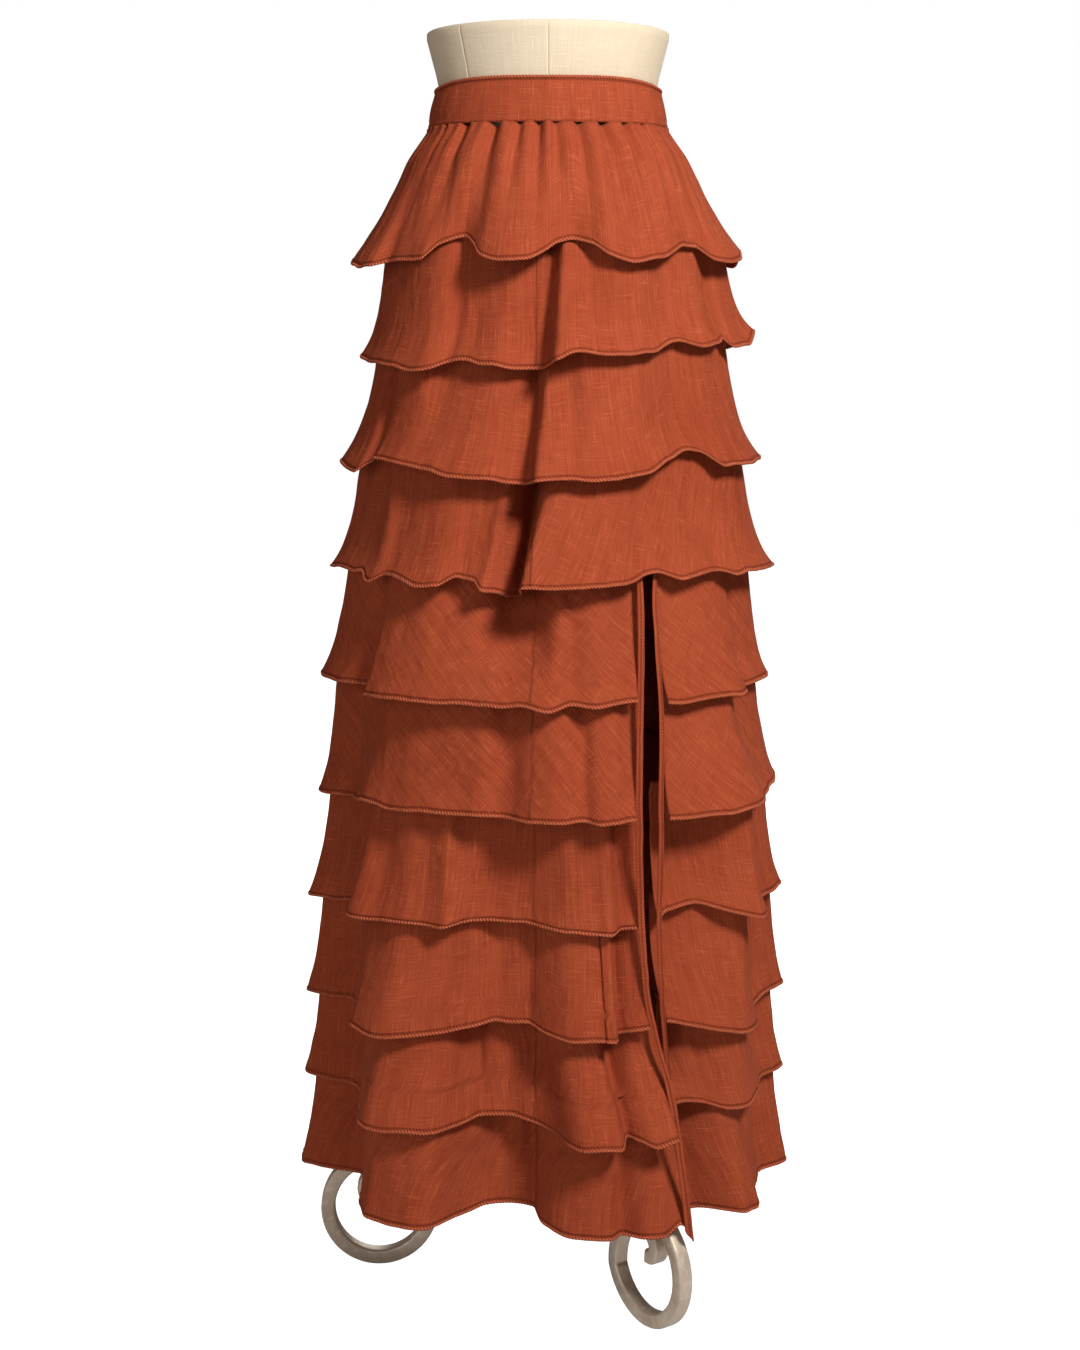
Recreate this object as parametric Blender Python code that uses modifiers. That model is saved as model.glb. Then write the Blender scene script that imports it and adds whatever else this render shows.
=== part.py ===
"""Tiered ruffle skirt on a limbless hip form with a three-legged scroll stand.

Metres, +Z up, front towards -Y. The origin is on the floor, under the middle of the skirt.
Every tier is a cloth wall that hangs from a hidden seam under the tier above it. Its surface is
the body line of the skirt (an ellipse for each height) plus folds that grow from seam to hem.
An angle on the cloth is counted in degrees from the middle of the front, positive towards +X.
"""
import math

import bmesh
import bpy
import numpy as np

COLLECTION = "tiered_ruffle_skirt"
MM = 0.001

# ---------------------------------------------------------------- driving sizes
CLOTH = 0.0016            # wall of a single hemmed layer
BAND_CLOTH = 0.0020       # wall of the doubled waistband and of the slit bands
SEAM_GAP = 0.0003         # space left between pieces that stand on each other
SIDE_GAP = 0.0008         # space left between the panels of a tier at the side seams
TIER_CLEAR = 0.0054       # least distance from a tier's face to the face of the tier above it
CURVE_STEP = 9.5          # widest angle between two columns of a tier
EDGE_STEP = 0.7           # angle of the narrow column at each edge
SIDE_SEAM = 90.0          # angle of the side seams

WAIST_SEAM = 1.118        # height of the waist seam at the middle of the front
SEAM_RISE = 0.003         # how much higher the waist seam is at the sides
WAIST_TOP = 1.163         # height of the waistband's top edge at the middle of the front
TOP_DIP = 0.006           # how much lower the top edge is at the sides
WAIST_TOP_HALF = (0.1080, 0.0838)

# the body line under the folds: height, half width, half depth
BODY_LINE = (
    (1.118, 0.1156, 0.0900), (1.088, 0.1350, 0.1065), (1.035, 0.1515, 0.1240),
    (0.998, 0.1598, 0.1330), (0.903, 0.1709, 0.1425), (0.801, 0.1856, 0.1541),
    (0.698, 0.1989, 0.1648), (0.590, 0.2089, 0.1725), (0.483, 0.2173, 0.1793),
    (0.379, 0.2238, 0.1847), (0.276, 0.2298, 0.1895), (0.193, 0.2352, 0.1937),
    (0.096, 0.2407, 0.1975))

# tiers from the waist down: heights of the seam and of the hem, how far the hem edge flares out,
# share of the folds already there at the seam, size and turn in degrees of the folds at the back
TIERS = (
    (1.118, 0.998, 0.000, 0.00, 0.7, 0.0),
    (1.027, 0.903, 0.016, 0.55, 0.8, 9.0),
    (0.933, 0.801, 0.018, 0.55, 0.8, -7.0),
    (0.831, 0.698, 0.018, 0.60, 0.9, 5.0),
    (0.728, 0.590, 0.012, 0.75, 0.9, -8.0),
    (0.621, 0.483, 0.010, 0.80, 1.1, -12.0),
    (0.514, 0.379, 0.010, 0.85, 1.3, -9.0),
    (0.410, 0.276, 0.008, 0.85, 1.5, -13.0),
    (0.308, 0.193, 0.006, 0.90, 1.6, -11.0),
    (0.222, 0.102, 0.005, 0.90, 1.7, -14.0))

# folds of each hem round the front, and a little past the side seam where the hem flares on: a
# row for each crest, hollow or turn of a fold, with its angle in degrees, its reach past the body
# line in mm and the lift of the hem in mm
FRONT_FOLDS = (
    ((-100, 27, -3), (-90, 27, 0), (-80, 30, -6), (-67, 30, -11), (-61, 28, -11), (-58, 14, -7),
     (-50, 14, -6), (-41, 16, -7), (-38, 4, 6), (-30, -4, 14), (-25, 4, 7), (-20, 16, -5),
     (-12, 20, -11), (-6, 18, -9), (-1, 8, -2), (4, 0, 8), (9, -4, 11), (14, 2, 7), (19, 12, -4),
     (25, 16, -9), (33, 14, -7), (42, 8, -1), (52, 2, 6), (59, 2, 7), (62, 16, -5), (70, 22, -6),
     (80, 28, 0), (90, 27, 6), (100, 24, -6)),
    ((-90, 11, 2), (-80, 11, 0), (-66, 10, -5), (-52, 12, -8), (-40, 14, -13), (-36, 10, -11),
     (-32, -2, -5), (-26, -2, -4), (-20, 2, -8), (-12, 4, -12), (-6, -8, -13), (-2, -4, -11),
     (3, 14, -3), (8, 11, 3), (14, 12, 1), (24, 14, 1), (30, 12, 3), (38, 4, 9), (46, -2, 15),
     (54, 6, 10), (63, 10, 12), (70, 8, 17), (73, 16, 10), (82, 26, 12), (90, 33, 27),
     (101, 26, 14)),
    ((-90, 17, 2), (-72, 14, -4), (-66, 14, -6), (-62, -4, 5), (-57, 4, 8), (-46, 8, 4),
     (-38, 8, 0), (-28, 10, -6), (-18, 8, -10), (-12, 2, -12), (-8, -8, -13), (-2, 14, -9),
     (6, 16, -7), (12, 17, -9), (20, 16, -8), (28, 12, -2), (36, 4, 8), (44, -2, 15), (50, -2, 15),
     (54, 4, 9), (57, 12, 2), (64, 16, 1), (78, 20, 3), (90, 22, 6)),
    ((-90, 14, 3), (-75, 4, 4), (-62, 1, 4), (-53, 10, -3), (-48, 4, 4), (-42, 8, 3), (-34, 12, -3),
     (-29, 10, -3), (-25, -2, 6), (-20, 0, 4), (-17, 8, -4), (-14, -6, -7), (-11.5, -24, -12),
     (-9, -34, -13), (-5.5, 20, -1), (1, 24, 0), (12, 24, 0), (18, 19, 1), (22, 12, 4), (26, 5, 8),
     (30, 5, 10), (36, 14, 4), (44, 10, 6), (50, 8, 8), (57, 14, 4), (66, 16, 5), (80, 20, 4),
     (90, 22, 3)),
    ((-90, 14, 3), (-70, 0, 4), (-60, -12, 4), (-52, 8, 0), (-40, 10, 0), (-28, 8, 0), (-20, 6, 0),
     (-8, 9, 0), (0, 16, -3), (6, 6, 0), (12, 12, 0), (20, 8, 2), (28, 10, 0), (34, 14, 0),
     (44, 10, 0), (54, 12, 0), (60, 8, 0), (64, -5, 2), (72, 0, 3), (90, 8, 5)),
    ((-90, 9, -4), (-80, -5, -3), (-73, -20, -2), (-64, -12, 2), (-52, -6, 3), (-40, -6, 3),
     (-28, -8, 3), (-18, -6, 4), (-12, -12, 4), (-4, 6, 2), (3, 14, 2), (9, 4, 3), (12, 14, 2),
     (16, 16, 2), (20, 10, 3), (26, 15, 2), (32, 20, 2), (38, 20, 2), (46, 26, 3), (53, 28, 4),
     (66, 10, 8), (72, 8, 10), (90, 7, 14)),
    ((-90, 13, -6), (-80, -8, -3), (-70, -25, 0), (-56, 2, 0), (-48, -8, 0), (-40, -10, 0),
     (-34, -18, 0), (-28, -14, 0), (-24, -30, 3), (-16, -38, 6), (-8, -36, 6), (0, -22, 4),
     (5, -10, 2), (11, -6, 2), (15, -1, 2), (18.5, -15, 3), (22, -8, 4), (26, -2, 4), (29, -14, 7),
     (33, -20, 14), (42, -20, 16), (48, -6, 10), (52, 10, 5), (56, 20, 0), (60, 15, 0), (70, -6, 5),
     (90, 8, 7)),
    ((-90, 10, 0), (-84, -8, 0), (-78, -35, 0), (-70, -32, 0), (-52, 2, 0), (-42, 8, 0),
     (-36, -2, 2), (-28, -20, 6), (-20, -34, 10), (-14, -44, 14), (-6, -42, 14), (0, -20, 10),
     (6, -2, 9), (12, 2, 9), (15.5, 7, 9), (17.5, -16, 10), (20.5, -8, 14), (26, 0, 18),
     (30, -16, 16), (38, -10, 8), (45, 0, 2), (54, 2, -6), (62, -4, -8), (72, -20, 0), (82, -6, 8),
     (90, 5, 10)),
    ((-90, 7, 0), (-83, -14, 0), (-77, -38, 0), (-69, -40, 0), (-52, -6, 0), (-42, 14, 0),
     (-36, 12, 0), (-31, 3, 0), (-27, -10, 0), (-25, -30, 0), (-20, -55, 4), (-12, -60, 4),
     (-4, -48, 2), (2, -28, 0), (5, 3, 0), (8, 19, 0), (12, 22, 0), (15, 22, 0), (18, -2, 4),
     (20, 10, 2), (22.5, 22, -3), (26, 24, 2), (30, 14, 4), (36, -30, 16), (44, -26, 12),
     (50, -12, 4), (56, -6, 2), (66, -14, 4), (76, -21, 6), (90, -1, 6)),
    ((-90, 7, 0), (-84, -10, 0), (-78, -42, 0), (-72, -50, 0), (-52, -15, 0), (-44, 0, 0),
     (-34, 0, 0), (-29, -7, 0), (-26, -46, 0), (-21, -74, 3), (-12, -82, 4), (-5, -76, 3),
     (-2, -46, 0), (4, -18, 0), (10, -8, 0), (14, -4, 0), (17.5, -14, 0), (21, 2, 0), (25, 9, 1),
     (28.5, 13, 12), (33, 8, 0), (38, -40, 0), (42, -38, 0), (46, -16, 0), (50, 4, 0), (55, 2, 0),
     (64, -20, 0), (79, -29, 0), (85, -10, 0), (90, -1, 0)))

# folds at the back, the same columns with the angle counted from the middle of the back
BACK_FOLDS = ((-66, -10, 0), (-48, 14, -3), (-30, -14, 5), (-10, 12, -2),
              (10, -18, 6), (29, 14, -3), (49, -12, 4), (67, 8, 0))
BACK_LIFT = 0.7           # the back hems lift less than the front ones

# how a fold grows down a tier, as powers of the way from the seam to the hem
GATHER_GROWTH = 2.4       # the top tier, whose folds open out of the gathers
FOLD_GROWTH = 1.3
LIP_GROWTH = 5.0
LIFT_GROWTH = 2.0
ROWS = (0.0, 0.27, 0.8, 1.0)       # heights at which a tier's section is taken

# the front slit from the fifth tier down: height, angles of its left and right edges,
# and how far past the body line each edge lies in mm
FIRST_SLIT_TIER = 5
SLIT = (
    (0.719, 26.4, 30.6, -8, -8), (0.665, 25.3, 28.1, -1, 0), (0.590, 24.0, 28.1, 2, 4),
    (0.483, 22.6, 26.4, 3, 8), (0.379, 24.0, 27.5, -8, -8), (0.325, 24.9, 28.3, -8, -12),
    (0.276, 26.9, 29.9, -4, -18), (0.235, 28.7, 32.6, 4, -28), (0.193, 29.5, 35.2, 10, -36),
    (0.150, 30.2, 36.4, 13, -42), (0.099, 31.0, 38.2, 15, -48))
SLIT_BAND = (1.7, 1.4)    # angles that the left and the right band take up
SLIT_GAP = 0.8            # angle between a band and the tiers beside it
BAND_ROWS = 13
BAND_TOP = 0.715
BAND_FOOT = 0.099

# the hip form: height and half width of its outline from the top down, and its depth by width
FORM_LINE = (
    (1.2055, 0.1162), (1.185, 0.1108), (1.168, 0.1065), (1.146, 0.1031), (1.122, 0.1042),
    (1.093, 0.1108), (1.058, 0.1208), (1.024, 0.1279), (0.985, 0.1341), (0.945, 0.1363),
    (0.910, 0.1325), (0.885, 0.1226), (0.868, 0.1058), (0.856, 0.0789), (0.850, 0.0479),
    (0.848, 0.0220))
FORM_DEPTH = 0.75
FORM_ROUND = 56
CAP_TOP = 1.2115
CAP_EDGE = 0.0025

# the stand
POLE_RADIUS = 0.014
COLLAR_RADIUS = 0.022
COLLAR_HEIGHT = 0.030
HUB_RADIUS = 0.030
HUB_FOOT = 0.100
HUB_TOP = 0.156
ROUND = 40
LEG_ANGLES = (34.0, -87.0, 153.0)
BAR = (0.014, 0.015)      # thickness and width of the flat bar of a leg
BAR_EDGE = 0.0022
ARM_HEIGHT = 0.132        # where a leg leaves the hub
ARM_GAP = 0.0012          # room for the end of a leg, which is not quite upright
RING_OUT = 0.168          # distance of the ring's centre from the pole
RING_RADIUS = 0.0585
RING_STEP = 12.0          # angle between the sections of a ring
CURL_START = 250.0        # angle round the ring, from its top outwards, where the curl begins
CURL_END = 520.0
CURL_RADIUS = 0.010
CURL_RISE = 0.019


# ---------------------------------------------------------------- lines and surfaces
def smooth_line(x, y, at):
    """A smooth line through points that never overshoots them (monotone cubic)."""
    x, y = np.asarray(x, float), np.asarray(y, float)
    step = np.diff(x)
    slope = np.diff(y) / step
    both = slope[:-1] + slope[1:]
    turning = slope[:-1] * slope[1:] <= 0
    mean = np.where(turning, 0, 2 * slope[:-1] * slope[1:] / np.where(turning, 1, both))
    tangent = np.concatenate([slope[:1], mean, slope[-1:]])
    i = np.clip(np.searchsorted(x, at, side="right") - 1, 0, len(step) - 1)
    u = np.clip((at - x[i]) / step[i], 0, 1)
    return ((1 + 2 * u) * (1 - u) ** 2 * y[i] + u * (1 - u) ** 2 * step[i] * tangent[i]
            + u * u * (3 - 2 * u) * y[i + 1] + u * u * (u - 1) * step[i] * tangent[i + 1])


def smooth_ring(x, y, at):
    """The same line closed on itself after 360 degrees."""
    x, y = np.asarray(x, float), np.asarray(y, float)
    x = np.concatenate([x[-3:] - 360, x, x[:3] + 360])
    y = np.concatenate([y[-3:], y, y[:3]])
    return smooth_line(x, y, (np.asarray(at, float) - x[3]) % 360 + x[3])


def fold_rows(tier):
    """All folds of a tier in order of angle: front rows as listed, back rows scaled and turned."""
    size, turn = TIERS[tier][4:]
    back = [((180 + a + turn + 180) % 360 - 180, reach * size, lift * size * BACK_LIFT)
            for a, reach, lift in BACK_FOLDS]
    return np.array(sorted(list(FRONT_FOLDS[tier]) + back), float)


def body_half(height):
    """Half width and half depth of the body line at a height."""
    line = np.array(BODY_LINE[::-1])
    return smooth_line(line[:, 0], line[:, 1], height), smooth_line(line[:, 0], line[:, 2], height)


def hang_free(tier, angle, down):
    """Reach past the body line and height of a tier's point; down runs 0 at the seam to 1."""
    top, hem, lip, kept = TIERS[tier][:4]
    rows = fold_rows(tier)
    reach = smooth_ring(rows[:, 0], rows[:, 1], angle) * MM
    lift = smooth_ring(rows[:, 0], rows[:, 2], angle) * MM
    height = top + (hem - top) * down + lift * down ** LIFT_GROWTH
    if tier == 0:
        rise = SEAM_RISE * np.sin(np.radians(angle)) ** 2 * (1 - down)
        return reach * down ** GATHER_GROWTH, height + rise
    folds = (reach - lip) * (kept + (1 - kept) * down ** FOLD_GROWTH)
    return folds + lip * down ** LIP_GROWTH, height


AROUND = np.linspace(-180, 180, 720, endpoint=False)
SPREAD = 11               # how many of those samples a tight place reaches to each side
DOWNWARD = np.linspace(0, 1, 25)


def widen(values):
    """The largest value within reach of each angle, then evened out."""
    widest = np.max([np.roll(values, s) for s in range(-SPREAD, SPREAD + 1)], axis=0)
    weight = np.exp(-0.5 * (np.arange(-SPREAD, SPREAD + 1) / (SPREAD / 2)) ** 2)
    padded = np.concatenate([widest[-SPREAD:], widest, widest[:SPREAD]])
    return np.convolve(padded, weight / weight.sum(), "valid")


def tuck_lines():
    """For each tier, how far it is drawn in at each angle so that it lies under the tier above."""
    tucks = [np.zeros(len(AROUND))]
    down, around = np.meshgrid(DOWNWARD, AROUND, indexing="ij")
    for tier in range(1, len(TIERS)):
        over_reach, over_height = hang(tier - 1, around, down, tucks)
        reach, height = hang_free(tier, around, down)
        need = np.zeros(len(AROUND))
        for i in range(len(AROUND)):
            covered = height[:, i] >= over_height[-1, i]
            above = np.interp(height[covered, i], over_height[::-1, i], over_reach[::-1, i])
            need[i] = np.max(reach[covered, i] - above + TIER_CLEAR)
        tucks.append(np.maximum(widen(need), 0))
    return tucks


def hang(tier, angle, down, tucks):
    """A tier's point with the tuck: full as far as the tier above covers it, gone at the hem."""
    reach, height = hang_free(tier, angle, down)
    if tier == 0:
        return reach, height
    tuck = np.interp((angle + 180) % 360 - 180, np.append(AROUND, 180),
                     np.append(tucks[tier], tucks[tier][0]))
    top, hem = TIERS[tier][:2]
    cover = (top - TIERS[tier - 1][1]) / (top - hem)
    out = np.clip((down - cover) / (1 - cover), 0, 1)
    return reach - tuck * (1 - out * out * (3 - 2 * out)), height


def on_body(reach, height, angle):
    """World points from reach past the body line, height and angle."""
    half_width, half_depth = body_half(height)
    a = np.radians(angle)
    return np.stack([(half_width + reach) * np.sin(a), -(half_depth + reach) * np.cos(a),
                     height + 0 * a], axis=-1)


# ---------------------------------------------------------------- objects
def material(name, colour, roughness, metallic=0.0):
    shade = bpy.data.materials.new(name)
    shade.use_nodes = True
    shader = shade.node_tree.nodes["Principled BSDF"]
    shader.inputs["Base Color"].default_value = (*colour, 1.0)
    shader.inputs["Roughness"].default_value = roughness
    shader.inputs["Metallic"].default_value = metallic
    shade.diffuse_color = (*colour, 1.0)
    return shade


def add_object(name, mesh, shade):
    obj = bpy.data.objects.new(name, mesh)
    mesh.materials.append(shade)
    mesh.shade_smooth()
    mesh.set_sharp_from_angle(angle=math.radians(40))
    bpy.data.collections[COLLECTION].objects.link(obj)
    return obj


def sheet(name, points, thickness, shade, middle=False):
    """A cloth wall: an open grid of points (rows down, columns round) given its thickness inwards."""
    rows, columns = points.shape[:2]
    index = np.arange(rows * columns).reshape(rows, columns)
    faces = np.stack([index[:-1, :-1], index[1:, :-1], index[1:, 1:], index[:-1, 1:]], axis=-1)
    mesh = bpy.data.meshes.new(name)
    mesh.from_pydata(points.reshape(-1, 3).tolist(), [], faces.reshape(-1, 4).tolist())
    obj = add_object(name, mesh, shade)
    wall = obj.modifiers.new("wall", "SOLIDIFY")
    wall.thickness = thickness
    wall.offset = 0.0 if middle else -1.0
    return obj


def columns_between(tier, start, end):
    """Angles of the columns: each fold row, more in wide spaces, and a narrow one at each edge,
    which keeps the edge of the wall square to the seam."""
    rows = fold_rows(tier)[:, 0]
    rows = np.concatenate([rows, rows + 360])
    first, last = start + EDGE_STEP, end - EDGE_STEP
    stops = [start, first] + [a for a in rows if first + 0.5 < a < last - 0.5] + [last, end]
    angles = []
    for a, b in zip(stops[:-1], stops[1:]):
        parts = max(1, math.ceil((b - a) / CURVE_STEP))
        angles += [a + (b - a) * i / parts for i in range(parts)]
    return np.array(angles + [end])


def slit_edges(height):
    """Angles of the slit's left and right edges at a height."""
    rows = np.array(SLIT[::-1])
    return smooth_line(rows[:, 0], rows[:, 1], height), smooth_line(rows[:, 0], rows[:, 2], height)


def tier_panel(tier, name, start, end, tucks, shade, slit_side=None):
    """One panel of a tier; the side at the slit follows the slit's edge down the panel."""
    angles = columns_between(tier, start, end)
    down, around = np.meshgrid(np.array(ROWS), angles, indexing="ij")
    _, height = hang(tier, around, down, tucks)
    left, right = slit_edges(height)
    share = (around - start) / (end - start)
    if slit_side == "left":
        around = start + (left - SLIT_BAND[0] - SLIT_GAP - start) * share
    if slit_side == "right":
        around = end - (end - right - SLIT_BAND[1] - SLIT_GAP) * (1 - share)
    reach, height = hang(tier, around, down, tucks)
    return sheet(name, on_body(reach, height, around), CLOTH, shade)


def tiers(shade):
    """The ten tiers: a front and a back, the front cut in two at the slit from the fifth down."""
    tucks = tuck_lines()
    for tier in range(len(TIERS)):
        label = f"tier_{tier + 1:02d}"
        top, hem = TIERS[tier][:2]
        seam = math.degrees(SIDE_GAP / 2 / body_half(hem)[1])
        front = (-SIDE_SEAM + seam, SIDE_SEAM - seam)
        tier_panel(tier, label + "_back", SIDE_SEAM + seam, 360 - SIDE_SEAM - seam, tucks, shade)
        if tier + 1 < FIRST_SLIT_TIER:
            tier_panel(tier, label + "_front", *front, tucks, shade)
            continue
        left, right = slit_edges((top + hem) / 2)
        tier_panel(tier, label + "_front", front[0], left - SLIT_BAND[0] - SLIT_GAP, tucks, shade,
                   "left")
        tier_panel(tier, label + "_side_front", right + SLIT_BAND[1] + SLIT_GAP, front[1], tucks,
                   shade, "right")


def slit_bands(shade):
    """The two narrow bands that finish the slit, each a strip down one edge."""
    rows = np.array(SLIT[::-1])
    height = np.linspace(BAND_TOP, BAND_FOOT, BAND_ROWS)
    left, right = slit_edges(height)
    for name, inner, outer, column in (("slit_band_left", left - SLIT_BAND[0], left, 3),
                                       ("slit_band_right", right, right + SLIT_BAND[1], 4)):
        angle = np.stack([inner, outer], axis=1)
        reach = smooth_line(rows[:, 0], rows[:, column], height)[:, None] * MM + 0 * angle
        sheet(name, on_body(reach, height[:, None] + 0 * angle, angle), BAND_CLOTH, shade)


def waistband(shade):
    """The shaped waistband, a front and a back that meet at the side seams."""
    seam = math.degrees(SEAM_GAP / 2 / WAIST_TOP_HALF[1])
    for name, start, end in (("waistband_front", -90 + seam, 90 - seam),
                             ("waistband_back", 90 + seam, 270 - seam)):
        middle = np.linspace(start + EDGE_STEP, end - EDGE_STEP, 15)
        up, around = np.meshgrid(np.array((1.0, 0.0)), np.array([start, *middle, end]),
                                 indexing="ij")
        side = np.sin(np.radians(around)) ** 2
        foot = WAIST_SEAM + SEAM_GAP + SEAM_RISE * side
        top = WAIST_TOP - TOP_DIP * side
        half = [b + (t - b) * up for b, t in zip(BODY_LINE[0][1:], WAIST_TOP_HALF)]
        a = np.radians(around)
        points = np.stack([half[0] * np.sin(a), -half[1] * np.cos(a), foot + (top - foot) * up],
                          axis=-1)
        sheet(name, points, BAND_CLOTH, shade)


def dress_form(shade):
    """The padded hip form, a turned outline made narrower from front to back, and its top board."""
    line = np.array(FORM_LINE)
    heights = np.linspace(line[0, 0], line[-1, 0], 19)
    drops = np.concatenate([heights[:-2], line[-4:, 0]])
    drops = np.unique(drops)[::-1]
    widths = smooth_line(line[::-1, 0], line[::-1, 1], drops)
    outline = [(0, 0, line[0, 0])] + [(w, 0, z) for w, z in zip(widths, drops)]
    outline.append((0, 0, line[-1, 0]))
    turned("dress_form", outline, FORM_ROUND, shade).scale = (1, FORM_DEPTH, 1)
    rim, foot = line[0, 1], line[0, 0] + SEAM_GAP
    board = [(0, 0, CAP_TOP), (rim - CAP_EDGE, 0, CAP_TOP), (rim, 0, CAP_TOP - CAP_EDGE),
             (rim, 0, foot), (0, 0, foot)]
    turned("form_cap", board, FORM_ROUND, shade).scale = (1, FORM_DEPTH, 1)


def turned(name, outline, steps, shade):
    """A solid of revolution from an outline at +X that runs from the top down."""
    mesh = bpy.data.meshes.new(name)
    mesh.from_pydata(outline, [(i, i + 1) for i in range(len(outline) - 1)], [])
    obj = add_object(name, mesh, shade)
    screw = obj.modifiers.new("turn", "SCREW")
    screw.steps = steps
    screw.render_steps = steps
    screw.use_merge_vertices = True
    screw.merge_threshold = 0.0001
    screw.use_smooth_shade = True
    return obj


def round_bar(name, radius, foot, top, shade):
    """An upright cylinder on the pole's axis."""
    mesh = bpy.data.meshes.new(name)
    shape = bmesh.new()
    bmesh.ops.create_cone(shape, cap_ends=True, segments=ROUND, radius1=radius, radius2=radius,
                          depth=top - foot)
    shape.to_mesh(mesh)
    shape.free()
    obj = add_object(name, mesh, shade)
    obj.location.z = (foot + top) / 2
    return obj


def scroll_path():
    """Centre line of a leg as distance from the pole and height: arm, ring, then the curl."""
    radius = RING_RADIUS - BAR[0] / 2
    centre = RING_RADIUS * math.cos(math.radians(RING_STEP / 2))     # a facet lies on the floor
    arm_start = HUB_RADIUS + ARM_GAP
    crown = centre + radius
    share = np.linspace(0, 1, 7)[:-1]
    ease = share * share * (3 - 2 * share)
    arm = np.stack([arm_start + (RING_OUT - arm_start) * share,
                    ARM_HEIGHT + (crown - ARM_HEIGHT) * ease], axis=1)
    turn = np.concatenate([np.arange(0, CURL_START, RING_STEP),
                           np.linspace(CURL_START, CURL_END, 19)])
    curl = np.clip((turn - CURL_START) / (CURL_END - CURL_START), 0, 1)
    shrink = 1 - (1 - curl) ** 1.7
    r = radius + (CURL_RADIUS - radius) * shrink
    a = np.radians(turn + RING_STEP / 2 * (turn > 0) * (turn < CURL_START))
    ring = np.stack([RING_OUT + r * np.sin(a), centre + CURL_RISE * curl + r * np.cos(a)], axis=1)
    return np.concatenate([arm, ring])


def scroll_legs(shade):
    """Three equal legs of flat bar, set round the hub."""
    path = scroll_path()
    for number, angle in enumerate(LEG_ANGLES, 1):
        a = math.radians(angle)
        out = np.array([math.sin(a), -math.cos(a), 0.0])
        side = np.array([math.cos(a), math.sin(a), 0.0]) * BAR[1] / 2
        line = path[:, :1] * out + path[:, 1:] * np.array([0.0, 0.0, 1.0])
        points = np.stack([line - side, line + side], axis=0)
        bar = sheet(f"scroll_leg_{number}", points, BAR[0], shade, middle=True)
        edge = bar.modifiers.new("edge", "BEVEL")
        edge.width = BAR_EDGE
        edge.segments = 1
        edge.limit_method = "ANGLE"
        edge.angle_limit = math.radians(50)


def main():
    for obj in list(bpy.data.objects):
        bpy.data.objects.remove(obj, do_unlink=True)
    bpy.context.scene.collection.children.link(bpy.data.collections.new(COLLECTION))
    linen = material("rust_linen", (0.36, 0.069, 0.026), 0.85)
    canvas = material("form_linen", (0.73, 0.60, 0.43), 0.8)
    metal = material("bronze", (0.36, 0.27, 0.19), 0.38, 0.9)
    waistband(linen)
    tiers(linen)
    slit_bands(linen)
    dress_form(canvas)
    form_foot = FORM_LINE[-1][0] - SEAM_GAP
    collar_foot = form_foot - COLLAR_HEIGHT
    round_bar("pole_collar", COLLAR_RADIUS, collar_foot, form_foot, metal)
    round_bar("pole", POLE_RADIUS, HUB_TOP + SEAM_GAP, collar_foot - SEAM_GAP, metal)
    round_bar("hub", HUB_RADIUS, HUB_FOOT, HUB_TOP, metal)
    scroll_legs(metal)


main()
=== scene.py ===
import math

import bmesh
import bpy
import numpy as np
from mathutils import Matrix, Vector


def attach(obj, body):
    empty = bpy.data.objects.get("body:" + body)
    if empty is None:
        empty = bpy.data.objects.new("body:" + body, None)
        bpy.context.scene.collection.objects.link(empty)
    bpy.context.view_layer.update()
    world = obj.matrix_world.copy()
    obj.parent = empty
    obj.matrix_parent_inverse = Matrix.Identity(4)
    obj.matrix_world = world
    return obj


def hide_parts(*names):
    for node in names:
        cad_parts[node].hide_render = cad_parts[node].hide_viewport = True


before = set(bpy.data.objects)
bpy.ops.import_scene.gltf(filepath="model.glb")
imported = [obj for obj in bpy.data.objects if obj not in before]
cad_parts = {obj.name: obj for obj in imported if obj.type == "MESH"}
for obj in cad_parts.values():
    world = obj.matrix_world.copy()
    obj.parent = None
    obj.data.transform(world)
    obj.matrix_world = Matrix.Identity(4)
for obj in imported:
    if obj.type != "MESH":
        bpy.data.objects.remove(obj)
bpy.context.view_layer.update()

print("frame loaded:", len(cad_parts), "nodes")

# Camera: stands in front at chest height and looks a little down
cameraPlan = {
    "place": (0.0, -1.95, 0.8905), "lookDown": 4.474, "lens": 53.33, "sensor": 36.0,
    "shift": (-0.0059, -0.110),
}


def makeCamera(plan):
    data = bpy.data.cameras.new("camera")
    data.lens = plan["lens"]
    data.sensor_width = plan["sensor"]
    data.shift_x, data.shift_y = plan["shift"]
    camera = bpy.data.objects.new("camera", data)
    camera.location = plan["place"]
    camera.rotation_euler = (math.radians(90 - plan["lookDown"]), 0, 0)
    bpy.context.scene.collection.objects.link(camera)
    bpy.context.scene.camera = camera


makeCamera(cameraPlan)
print("camera placed")

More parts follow.
